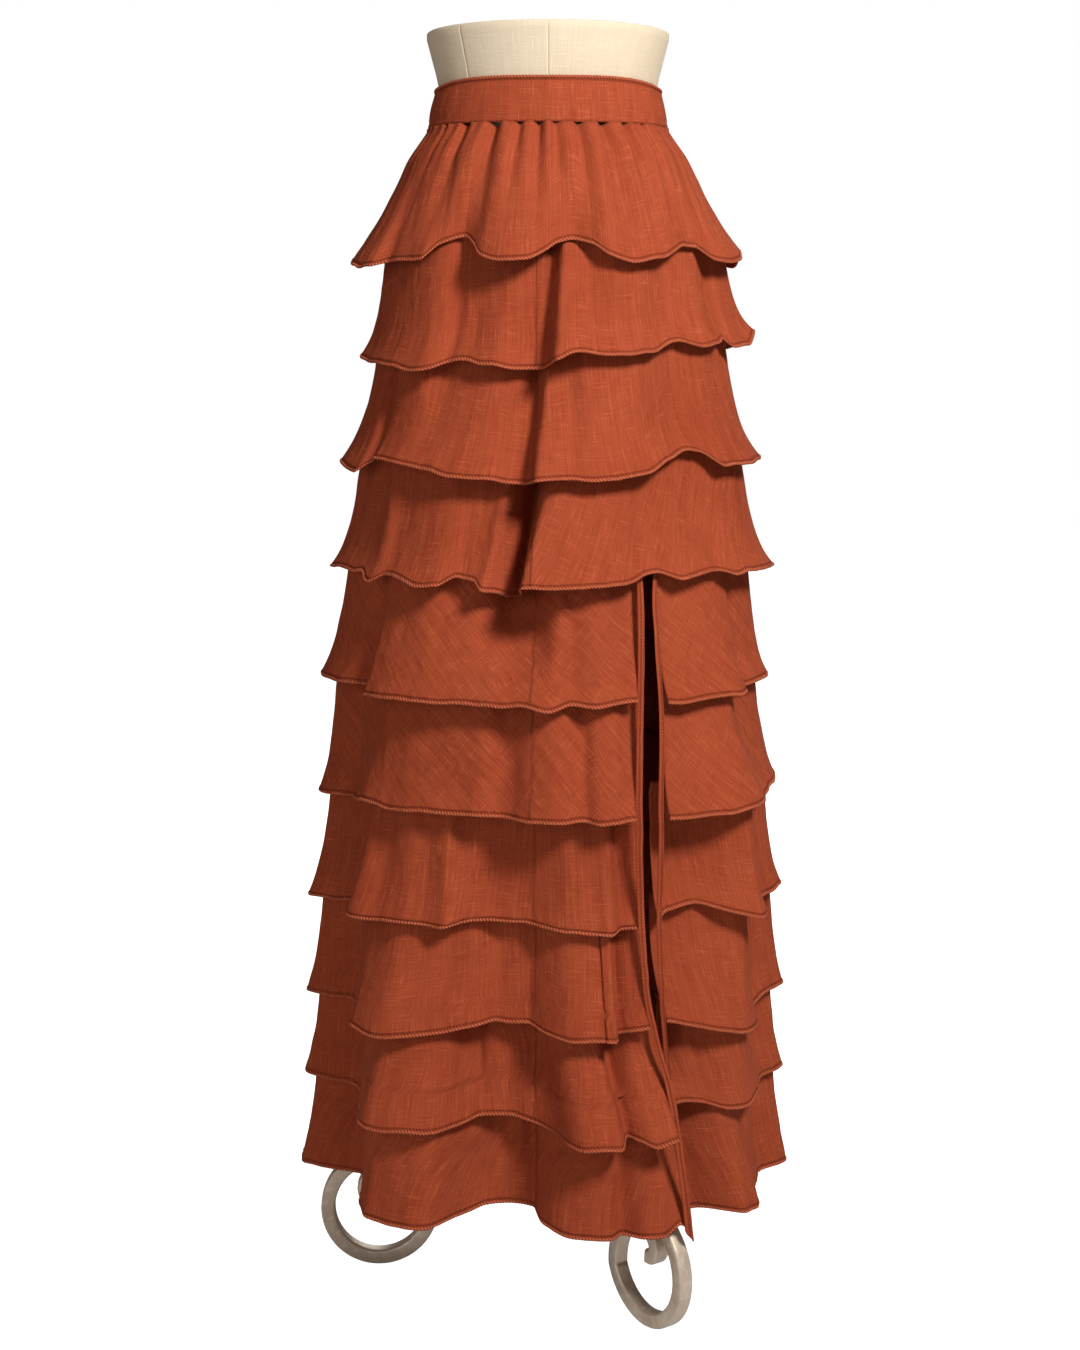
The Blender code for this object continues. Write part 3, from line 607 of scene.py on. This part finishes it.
def makeCanvas(name, look):
    finish, tree, shader = newFinish(name, look["roughness"], Sheen_Weight=0.08,
                                     Specular_IOR_Level=0.25)
    cloth = useGroup(tree, weave, Cloth=mapNode(tree, "cut"), Threads=look["threads"],
                     Slub=look["slub"])
    tree.links.new(wovenColour(tree, cloth, look), shader.inputs["Base Color"])
    bumpInto(tree, shader, cloth["Height"], look["relief"])
    return finish


metalLook = {"dark": (0.54, 0.43, 0.33), "light": (0.76, 0.65, 0.53), "worn": (0.86, 0.76, 0.63),
             "rough": (0.40, 0.58), "metallic": 0.55, "relief": 0.00010}


# Patinated metal: two browns by a broad cloud, fine dark specks, and rougher where it is dark.
def makeMetal(name, look):
    finish, tree, shader = newFinish(name, 0.4, Metallic=look["metallic"])
    where = objectPlace(tree)
    cloud = useGroup(tree, clouding, Place=where, Size=26.0)
    fine = useGroup(tree, clouding, Place=where, Size=160.0)
    specks = rangeNode(tree, fine["Tone"], 0.55, 0.95)
    colour = mixColour(tree, cloud["Tone"], look["light"], look["dark"])
    colour = mixColour(tree, mathNode(tree, "MULTIPLY", specks, 0.45), colour, look["worn"])
    tree.links.new(colour, shader.inputs["Base Color"])
    tree.links.new(rangeNode(tree, cloud["Tone"], 0.0, 1.0, *look["rough"]),
                   shader.inputs["Roughness"])
    bumpInto(tree, shader, fine["Tone"], look["relief"], 0.5)
    return finish


linen = makeLinen("rustLinen", linenLook)
edgeThread = makeEdgeThread("edgeThread", linenLook)
canvas = makeCanvas("formLinen", canvasLook)
metal = makeMetal("patinatedMetal", metalLook)
print("finishes made")

# Tiers: angles in degrees, sizes in metres
tierDetail = {
    "columnStep": 0.76,               # between columns of points
    "seamStep": 0.10, "seamReach": 0.6,    # closer columns this far to both sides of a seam
    # upright seams of each tier, in degrees from the front
    "seams": ((-90, 90), (-90, 90), (-90, 90), (-90, 90), (-90, 90), (-90, 90), (-90, 90),
              (-90, 13, 90), (-90, 90), (-90, -79, 90)),
    "seamDepth": 0.0012, "seamWidth": 0.22,
    "hemWave": (0.0019, 64),          # small rise and fall of the hems, and how many go round
    "openSeam": (7, 13, 2.6),         # a seam that pulls: tier, degrees, times deeper
    # turn of the thread from upright on the left and on the right of the middle, in degrees
    "grain": ((0, 0), (2, -3), (-3, 3), (0, -25), (48, 50), (52, 46), (-3, 3), (2, -2), (4, 0),
              (0, 3)),
    "ripple": (0.0009, 0.00045),      # soft unevenness of the cloth, broad and fine
    "gather": (0.0009, 46),           # relief of the gathers at the waist and their number
    # tucks under the waistband: degrees from the front, depth in mm, width in degrees, length
    "tucks": ((-84, 2.2, 1.6, 0.5), (-70, 2.6, 1.8, 0.6), (-55, 2.6, 1.8, 0.55),
              (-41, 4.6, 2.6, 1.1), (-25, 6.5, 3.2, 1.3), (-13, 3.4, 1.8, 0.6),
              (-4, 5.5, 2.2, 0.8), (3.5, 3.4, 2.2, 1.3), (14, 4.4, 2.2, 0.8),
              (26, 6.0, 3.0, 1.2), (38, 4.2, 2.2, 0.8), (50, 2.6, 1.7, 0.6), (64, 2.4, 1.7, 0.5),
              (79, 2.4, 1.7, 0.5), (93, 2.6, 1.8, 0.6), (108, 2.4, 1.7, 0.5),
              (122, 3.0, 2.1, 0.8), (137, 2.4, 1.7, 0.5), (151, 3.0, 2.0, 0.7),
              (166, 2.6, 1.7, 0.6), (179, 3.0, 2.0, 0.8), (-166, 2.4, 1.7, 0.5),
              (-152, 3.0, 2.0, 0.8), (-138, 2.4, 1.7, 0.5), (-124, 3.0, 2.0, 0.8),
              (-110, 2.4, 1.7, 0.5), (-97, 2.6, 1.8, 0.6)),
    "seamLean": 0.0026,               # how far the top edge leans out to the tier it is sewn to
    "hem": (0.0015, 0.0010),          # half height and half thickness of the overlocked edge
    "hemStep": 0.00075,               # between points along the hem
    "hemStitch": 0.0030, "hemSwell": 0.18,
}
slitLook = {
    "top": 0.715, "foot": 0.099, "rows": 240, "thickness": 0.0016,
    "waver": 0.14,            # unevenness of the edges in degrees
    "puff": 0.0005,           # how far the middle of a band stands out
    "proud": 0.0024,          # how far the left band stands out from the cloth
    "tip": 0.010,             # length over which the left band narrows at its foot
}
tucks = tuckLines()
print("folds of", len(skirt["tiers"]), "tiers worked out")


def tierAngles(tier, start, end):
    angles = np.arange(start, end, tierDetail["columnStep"])
    for seam in tierDetail["seams"][tier]:
        for turn in (0, 360):
            if start + 2 < seam + turn < end - 2:
                near = np.arange(-tierDetail["seamReach"], tierDetail["seamReach"] + 0.01,
                                 tierDetail["seamStep"]) + seam + turn
                angles = angles[np.abs(angles - seam - turn) > tierDetail["seamReach"] + 0.1]
                angles = np.sort(np.concatenate([angles, near]))
    return np.append(angles, end)


# Relief along the way out: broad and fine unevenness, gathers and tucks on the top tier, and a
# groove along each upright seam, bell-shaped across it.
def tierRelief(tier, angle, down, height):
    broad, fine = tierDetail["ripple"]
    lines = 60 + 4 * tier
    share = angle / 360
    relief = broad * softNoise(share * lines, height / 0.055, lines, 10 + tier)
    relief *= 0.4 + 0.6 * down
    relief += fine * softNoise(share * lines * 3, height / 0.017, lines * 3, 30 + tier)
    if tier == 0:
        size, count = tierDetail["gather"]
        relief += size * softNoise(share * count, 0.7 + 0 * angle, count, 5) * (1 - 0.7 * down)
        for at, depth, width, length in tierDetail["tucks"]:
            away = ((angle - at + 180) % 360 - 180) / (width * (0.75 + 0.9 * down))
            fade = np.clip(1 - down / length, 0, 1) ** 0.9
            relief += depth / 1000 * fade * (0.45 * np.exp(-((np.abs(away) - 2.1) / 1.2) ** 2)
                                             - np.exp(-away ** 2))
    for seam in tierDetail["seams"][tier]:
        away = np.abs((angle - seam + 180) % 360 - 180)
        pull = tierDetail["openSeam"][2] if (tier, seam) == tierDetail["openSeam"][:2] else 1
        relief -= tierDetail["seamDepth"] * pull * np.exp(-(away / tierDetail["seamWidth"]) ** 2)
    return relief


# Angles at which a tier starts and ends beside the slit. The left side runs on behind the band
# where the tier lies deeper, as far as sideways place of the band's middle = that of the tier.
def slitSides(startHeight, endHeight, endReach):
    rows = np.array(skirt["slit"][::-1])
    bandReach = smoothLine(rows[:, 0], rows[:, 3], endHeight) / 1000
    left = slitEdges(endHeight)[0]
    half = bodyHalf(endHeight)[0]
    middle = (half + bandReach) * np.sin(np.radians(left - skirt["slitBand"][0] * 0.45))
    behind = np.degrees(np.arcsin(np.clip(middle / (half + endReach), 0, 0.95)))
    beside = left - skirt["slitBand"][0] - skirt["slitGap"]
    deeper = easeStep((bandReach + slitLook["proud"] - endReach - 0.0025) / 0.001)
    last = beside + (np.maximum(behind, beside) - beside) * deeper
    first = slitEdges(startHeight)[1] + skirt["slitBand"][1] + skirt["slitGap"]
    return first, last + 360


# A tier's outer face as a grid, with its two maps: cut, the flat cloth in metres turned by the
# grain, and edge, the length along the hem and the distance above it.
def tierGrid(tier):
    rows = skirt["rows"]
    down = np.concatenate([np.linspace(0, 0.06, 3)[:-1], np.linspace(0.06, 1, rows - 2)])
    closed = tier < skirt["firstSlitTier"]
    start, end = (-180.0, 180.0) if closed else (27.0, 384.0)
    angles = tierAngles(tier, start, end)
    downGrid, around = np.meshgrid(down, angles, indexing="ij")
    if not closed:
        share = (angles - start) / (end - start)
        for _ in range(4):
            reach, height = hang(tier, around, downGrid, tucks)
            first, last = slitSides(height[:, 0], height[:, -1], reach[:, -1])
            around = first[:, None] + (last - first)[:, None] * share
    reach, height = hang(tier, around, downGrid, tucks)
    if tier:
        reach = reach + tierDetail["seamLean"] * (1 - easeStep(downGrid / 0.07))
    points = onBody(reach, height, around)
    points = points + outward(points) * tierRelief(tier, around, downGrid, height)[..., None]
    size, count = tierDetail["hemWave"]
    wave = softNoise(around / 360 * count, 0.4 + 0 * around, count, 50 + tier)
    points[..., 2] += size * wave * downGrid ** 3
    if closed:
        points[:, -1] = points[:, 0]
    along = lengthAlong(points[-1])
    step = np.linalg.norm(np.diff(points[::-1], axis=0), axis=-1)
    above = np.concatenate([np.zeros((1, len(angles))), np.cumsum(step, axis=0)])[::-1]
    wrapped = (around + 180) % 360 - 180
    leftTurn, rightTurn = np.radians(tierDetail["grain"][tier])
    turn = np.where(wrapped < -4, leftTurn, rightTurn)
    cut = np.stack([along * np.cos(turn) + above * np.sin(turn),
                    above * np.cos(turn) - along * np.sin(turn)], -1)
    edge = np.stack([along + 0 * above, above], -1)
    return points, {"cut": cut, "edge": edge}, closed


# The overlocked edge: an oval carried along the hem, swelling a little at each slanted stitch.
def hemEdge(name, points, closed):
    half, thick = tierDetail["hem"]
    running = lengthAlong(points[-1])
    count = int(running[-1] / tierDetail["hemStep"])
    even = np.linspace(0, running[-1], count + 1)
    way = unit(points[-1] - points[-3])
    face = outward(points)[-1]
    if closed:
        way[-1], face[-1] = way[0], face[0]
    line, way, face = [np.stack([np.interp(even, running, values[:, k]) for k in range(3)], -1)
                       for values in (points[-1], way, face)]
    line = line - face * skirt["cloth"] / 2 - way * half * 0.45
    turns = np.radians(np.arange(6) * 60 + 30)
    profile = np.stack([half * np.cos(turns), thick * np.sin(turns)], -1)
    stitches = running[-1] / tierDetail["hemStitch"]
    if closed:
        stitches = round(stitches)
    phase = (np.append(turns, turns[0] + 2 * math.pi)[:, None]
             + even[None] / running[-1] * stitches * 2 * math.pi)
    swell = 1 + tierDetail["hemSwell"] * np.sin(phase)
    if closed:
        swell[:, -1] = swell[:, 0]
    return carried(name, line, way, face, profile, closed, swell, even)


for tier in range(len(skirt["tiers"])):
    label = f"tier{tier + 1:02d}"
    points, maps, closed = tierGrid(tier)
    piece = place(label, gridMesh(label, points, maps, closedAcross=closed), linen,
                  skirt["cloth"])
    edge = place(label + "Hem", hemEdge(label + "Hem", points, closed), edgeThread)
    nodes = [f"tier_{tier + 1:02d}_front", f"tier_{tier + 1:02d}_back"]
    if not closed:
        nodes.append(f"tier_{tier + 1:02d}_side_front")
    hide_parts(*nodes)

waistband = {
    "seam": 1.118, "seamRise": 0.003, "gap": 0.0004,    # height of its foot, and over the tier
    "top": 1.163, "topDip": 0.006, "flatTop": 0.0026,    # dips at the sides and middle front
    "foot": (0.1156, 0.0900), "topHalf": (0.1080, 0.0838),    # half width and half depth
    "thickness": 0.0019, "columns": 360, "rows": 16,
    "puff": 0.0009, "unevenness": 0.0004,
    "sewnLine": (0.0005, 0.13, 0.03),    # depth, place above the foot, width as shares
    "seamGroove": (0.0006, 0.5),
    "flat": (0.655, 0.046),
}


# Waistband: an ellipse for each height, narrower to the top, with a faint roll at both edges.
def waistbandGrid(look):
    up, angle = np.meshgrid(np.linspace(1, 0, look["rows"]),
                            np.linspace(-180, 180, look["columns"] + 1), indexing="ij")
    side = np.sin(np.radians(angle)) ** 2
    foot = look["seam"] + look["gap"] + look["seamRise"] * side
    flat = look["flatTop"] * np.cos(np.radians(angle)) ** 4 * (np.cos(np.radians(angle)) > 0)
    height = foot + (look["top"] - flat - look["topDip"] * side ** 2 - foot) * up
    half = [b + (t - b) * up for b, t in zip(look["foot"], look["topHalf"])]
    puff = look["puff"] * np.sin(math.pi * up)
    puff += look["unevenness"] * softNoise(angle / 360 * 90, up * 2, 90, 61)
    depth, middle, width = look["sewnLine"]
    puff -= depth * np.exp(-((up - middle) / width) ** 2)
    depth, width = look["seamGroove"]
    for seam in (-90, 90):
        puff -= depth * np.exp(-((angle - seam) / width) ** 2)
    a = np.radians(angle)
    points = np.stack([(half[0] + puff) * np.sin(a), -(half[1] + puff) * np.cos(a), height], -1)
    points[:, -1] = points[:, 0]
    along = lengthAlong(points[-1])[None] + 0 * up
    drop = (1 - up) * (look["top"] - look["seam"])
    return points, {"cut": np.stack([along, -drop], -1), "edge": np.stack([along, drop], -1)}


bandPoints, bandMaps = waistbandGrid(waistband)
band = place("waistband", gridMesh("waistband", bandPoints, bandMaps, closedAcross=True), linen,
             waistband["thickness"])
rim = place("waistbandEdge", hemEdge("waistbandEdge", bandPoints[::-1], True), edgeThread)
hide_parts("waistband_front", "waistband_back")
print("waistband made")


# Slit band: for each height a short arc from the slit's edge to the tiers, puffed in its middle;
# its edge wavers with two sizes of soft noise, and the left one narrows to a tip.
def slitBandGrid(look, side):
    rows = np.array(skirt["slit"][::-1])
    height = np.linspace(look["top"], look["foot"], look["rows"])
    left, right = slitEdges(height)
    wave = look["waver"] * softNoise(height / 0.03, 0.5 + 0 * height, 64, 71 + side)
    wave = wave + 0.5 * look["waver"] * softNoise(height / 0.011, 0.5 + 0 * height, 64, 75 + side)
    inner, outer, column = ((left - skirt["slitBand"][0], left + wave, 3) if side == 0
                            else (right + wave, right + skirt["slitBand"][1], 4))
    tip = easeStep((height - look["foot"]) / look["tip"])
    if side == 0:
        inner = inner + (outer - inner) * (1 - tip) * 0.8
    share = np.linspace(0, 1, 9)[None]
    angle = inner[:, None] + (outer - inner)[:, None] * share
    reach = smoothLine(rows[:, 0], rows[:, column], height)[:, None] / 1000 + 0 * angle
    reach = reach + look["puff"] * np.sin(math.pi * share) + look["proud"] * (side == 0)
    points = onBody(reach, height[:, None] + 0 * angle, angle)
    down = lengthAlong(points[:, 0])[:, None] + 0 * angle
    across = np.concatenate([np.zeros((len(height), 1)), np.cumsum(np.linalg.norm(
        np.diff(points, axis=1), axis=-1), axis=1)], axis=1)
    near = across if side else across[:, -1:] - across
    return points, {"cut": np.stack([across, -down], -1), "edge": np.stack([down, near], -1)}


for side, name, node in ((0, "slitBandLeft", "slit_band_left"),
                         (1, "slitBandRight", "slit_band_right")):
    points, maps = slitBandGrid(slitLook, side)
    strip = place(name, gridMesh(name, points, maps), linen, slitLook["thickness"])
    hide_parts(node)
print("slit bands made")

form = {
    # height and half width of the outline from the top down; depth is a share of the width
    "line": ((1.2055, 0.1162), (1.185, 0.1108), (1.168, 0.1065), (1.146, 0.1031), (1.122, 0.1042),
             (1.093, 0.1108), (1.058, 0.1208), (1.024, 0.1279), (0.985, 0.1341), (0.945, 0.1363),
             (0.910, 0.1325), (0.885, 0.1226), (0.868, 0.1058), (0.856, 0.0789),
             (0.850, 0.0479), (0.848, 0.0220)),
    "depth": 0.75, "capTop": 1.2115, "capRound": 0.002, "rows": 130, "columnStep": 1.5,
    "seams": (-135, -90, -44.7, 0, 44.7, 90, 135, 180), "seamDepth": 0.0013, "seamWidth": 0.36,
}


# Form: an ellipse for each height of the outline, grooved along the upright seams; the outline
# is closed over the top board and under the foot.
def formMesh(look):
    line = np.array(look["line"])
    drops = np.concatenate([np.linspace(line[0, 0], line[-4, 0], look["rows"]),
                            np.linspace(line[-4, 0], line[-1, 0], 24)[1:]])
    widths = smoothLine(line[::-1, 0], line[::-1, 1], drops)
    turn = np.radians(np.linspace(0, 90, 7))[:-1]
    corner = look["capRound"]
    rimWidth = widths[0] - corner + corner * np.sin(turn)
    rimDrop = look["capTop"] - corner + corner * np.cos(turn)
    topWidth = np.linspace(0.0, 1.0, 14)[:-1] * (widths[0] - corner)
    widths = np.concatenate([topWidth, rimWidth, widths, [0.0]])
    drops = np.concatenate([np.full(13, look["capTop"]), rimDrop, drops, [line[-1, 0]]])
    angles = np.arange(-180, 180, look["columnStep"])
    for seam in look["seams"]:
        angles = angles[np.abs((angles - seam + 180) % 360 - 180) > 1.6]
        angles = np.append(angles, seam + np.arange(-1.5, 1.51, 0.25))
    angles = np.unique(np.round((angles + 180) % 360 - 180, 3))
    angles = np.append(angles, angles[0] + 360)
    groove = sum(np.exp(-(((angles - seam + 180) % 360 - 180) / look["seamWidth"]) ** 2)
                 for seam in look["seams"]) * look["seamDepth"]
    a = np.radians(angles)[None]
    onSide = ((drops < look["line"][0][0] + 0.001) & (widths > 0.01))[:, None]
    radius = widths[:, None] - groove[None] * onSide
    points = np.stack([radius * np.sin(a), -radius * look["depth"] * np.cos(a),
                       drops[:, None] + 0 * a], -1)
    around = a * widths.max() * 0.9 + 0 * radius
    down = lengthAlong(np.stack([widths, drops], -1))[:, None] + 0 * a
    maps = {"cut": np.stack([around, -down], -1)}
    mesh = gridMesh("dressForm", points, maps, closedAcross=True)
    faceOut(mesh, 0.00001)
    mesh.shade_smooth()
    return mesh


body = place("dressForm", formMesh(form), canvas)
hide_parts("dress_form", "form_cap")
print("dress form made")

stand = {    # metres and degrees; angles are those of the three legs
    "ringRadius": 0.0585, "ringOut": 0.168, "armHeight": 0.132, "hub": 0.030, "armGap": 0.0012,
    "bar": (0.014, 0.015), "edge": 0.0026, "angles": (34.0, -87.0, 153.0),
    "curlStart": 250.0, "curlEnd": 520.0, "curlRadius": 0.010, "curlRise": 0.019,
}


# Leg's line: an eased arm out from the hub, a ring, and a curl that winds inwards.
def legLine(look):
    radius = look["ringRadius"] - look["bar"][0] / 2
    start = look["hub"] + look["armGap"]
    crown = look["ringRadius"] + radius
    share = np.linspace(0, 1, 25)[:-1]
    arm = np.stack([start + (look["ringOut"] - start) * share,
                    look["armHeight"] + (crown - look["armHeight"]) * easeStep(share)], 1)
    turn = np.concatenate([np.arange(0, look["curlStart"], 4.0),
                           np.linspace(look["curlStart"], look["curlEnd"], 76)])
    curl = np.clip((turn - look["curlStart"]) / (look["curlEnd"] - look["curlStart"]), 0, 1)
    r = radius + (look["curlRadius"] - radius) * (1 - (1 - curl) ** 1.7)
    a = np.radians(turn)
    ring = np.stack([look["ringOut"] + r * np.sin(a),
                     look["ringRadius"] + look["curlRise"] * curl + r * np.cos(a)], 1)
    return np.concatenate([arm, ring])


def roundedBar(width, height, edge):     # a rectangle with a small quarter turn at each corner
    turn = np.radians(np.arange(0, 91, 22.5))
    corner = np.stack([np.cos(turn), np.sin(turn)], -1) * edge
    parts = []
    for k, (x, y) in enumerate(((1, 1), (-1, 1), (-1, -1), (1, -1))):
        spin = math.pi / 2 * k
        rotated = np.stack([corner[:, 0] * math.cos(spin) - corner[:, 1] * math.sin(spin),
                            corner[:, 0] * math.sin(spin) + corner[:, 1] * math.cos(spin)], -1)
        parts.append(rotated + np.array([x * (width / 2 - edge), y * (height / 2 - edge)]))
    return np.concatenate(parts)


flat = legLine(stand)
tangent = unit(np.gradient(flat, axis=0))
across = np.stack([-tangent[:, 1], tangent[:, 0]], -1)
barShape = roundedBar(stand["bar"][0], stand["bar"][1], stand["edge"])
for number, angle in enumerate(stand["angles"], 1):
    a = math.radians(angle)
    out = np.array([math.sin(a), -math.cos(a), 0.0])
    up = np.array([0.0, 0.0, 1.0])
    sideways = np.array([math.cos(a), math.sin(a), 0.0]) + 0 * flat[:, :1]
    line = flat[:, :1] * out + flat[:, 1:] * up
    leg = place(f"scrollLeg{number}",
                carried(f"scrollLeg{number}", line, across[:, :1] * out + across[:, 1:] * up,
                        sideways, barShape), metal)
    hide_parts(f"scroll_leg_{number}")
for node in ("pole", "pole_collar", "hub"):
    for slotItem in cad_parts[node].material_slots:
        slotItem.material = metal
print("stand made")

studio = {
    "floor": (0.62, 0.62, 0.62), "floorGlow": 1.1,
    "sky": 0.13, "skyTint": (1.0, 0.80, 0.62, 1.0),
    # each light's place, width and watts
    "key": ((0.90, -1.50, 1.95), 0.42, 50.0),
    "fill": ((-1.6, -2.2, 1.2), 1.6, 14.0),
    "back": ((0.4, 2.4, 1.6), 2.0, 40.0),
}


def makeFloor(look):
    edge = np.linspace(-9, 9, 13)
    y, x = np.meshgrid(edge[::-1], edge, indexing="ij")
    mesh = gridMesh("floor", np.stack([x, y, 0 * x - 0.0002], -1), {})
    floor = bpy.data.objects.new("floor", mesh)
    finish, tree, shader = newFinish("paleFloor", 0.9)
    tint = noiseNode(tree, objectPlace(tree), 30.0, 2.0)
    tree.links.new(mixColour(tree, rangeNode(tree, tint, 0.3, 0.7), look["floor"],
                             tuple(c * 0.99 for c in look["floor"])), shader.inputs["Base Color"])
    glow = tree.nodes.new("ShaderNodeEmission")
    glow.inputs["Strength"].default_value = look["floorGlow"]
    seen = tree.nodes.new("ShaderNodeLightPath").outputs["Is Camera Ray"]
    both = tree.nodes.new("ShaderNodeAddShader")
    pick = tree.nodes.new("ShaderNodeMixShader")
    out = tree.nodes["Material Output"]
    tree.links.new(shader.outputs[0], both.inputs[0])
    tree.links.new(glow.outputs[0], both.inputs[1])
    tree.links.new(seen, pick.inputs[0])
    tree.links.new(shader.outputs[0], pick.inputs[1])
    tree.links.new(both.outputs[0], pick.inputs[2])
    tree.links.new(pick.outputs[0], out.inputs[0])
    mesh.materials.append(finish)
    bpy.context.scene.collection.objects.link(floor)


def makeSky(look):
    world = bpy.data.worlds.new("studio")
    world.use_nodes = True
    tree = world.node_tree
    dim = tree.nodes["Background"]
    dim.inputs["Color"].default_value = look["skyTint"]
    dim.inputs["Strength"].default_value = look["sky"]
    white = tree.nodes.new("ShaderNodeBackground")
    white.inputs["Color"].default_value = (1, 1, 1, 1)
    white.inputs["Strength"].default_value = 1.0
    pick = tree.nodes.new("ShaderNodeMixShader")
    tree.links.new(tree.nodes.new("ShaderNodeLightPath").outputs["Is Camera Ray"], pick.inputs[0])
    tree.links.new(dim.outputs[0], pick.inputs[1])
    tree.links.new(white.outputs[0], pick.inputs[2])
    tree.links.new(pick.outputs[0], tree.nodes["World Output"].inputs[0])
    bpy.context.scene.world = world


def makeLight(name, where, size, power, aim=(0.0, 0.0, 0.7)):
    data = bpy.data.lights.new(name, "AREA")
    data.size, data.energy = size, power
    light = bpy.data.objects.new(name, data)
    light.location = where
    light.rotation_euler = (Vector(aim) - Vector(where)).to_track_quat("-Z", "Y").to_euler()
    bpy.context.scene.collection.objects.link(light)


makeFloor(studio)
makeSky(studio)
for name in ("key", "fill", "back"):
    makeLight(name, *studio[name])
bpy.context.scene.view_settings.view_transform = "Standard"
print("floor and light made")
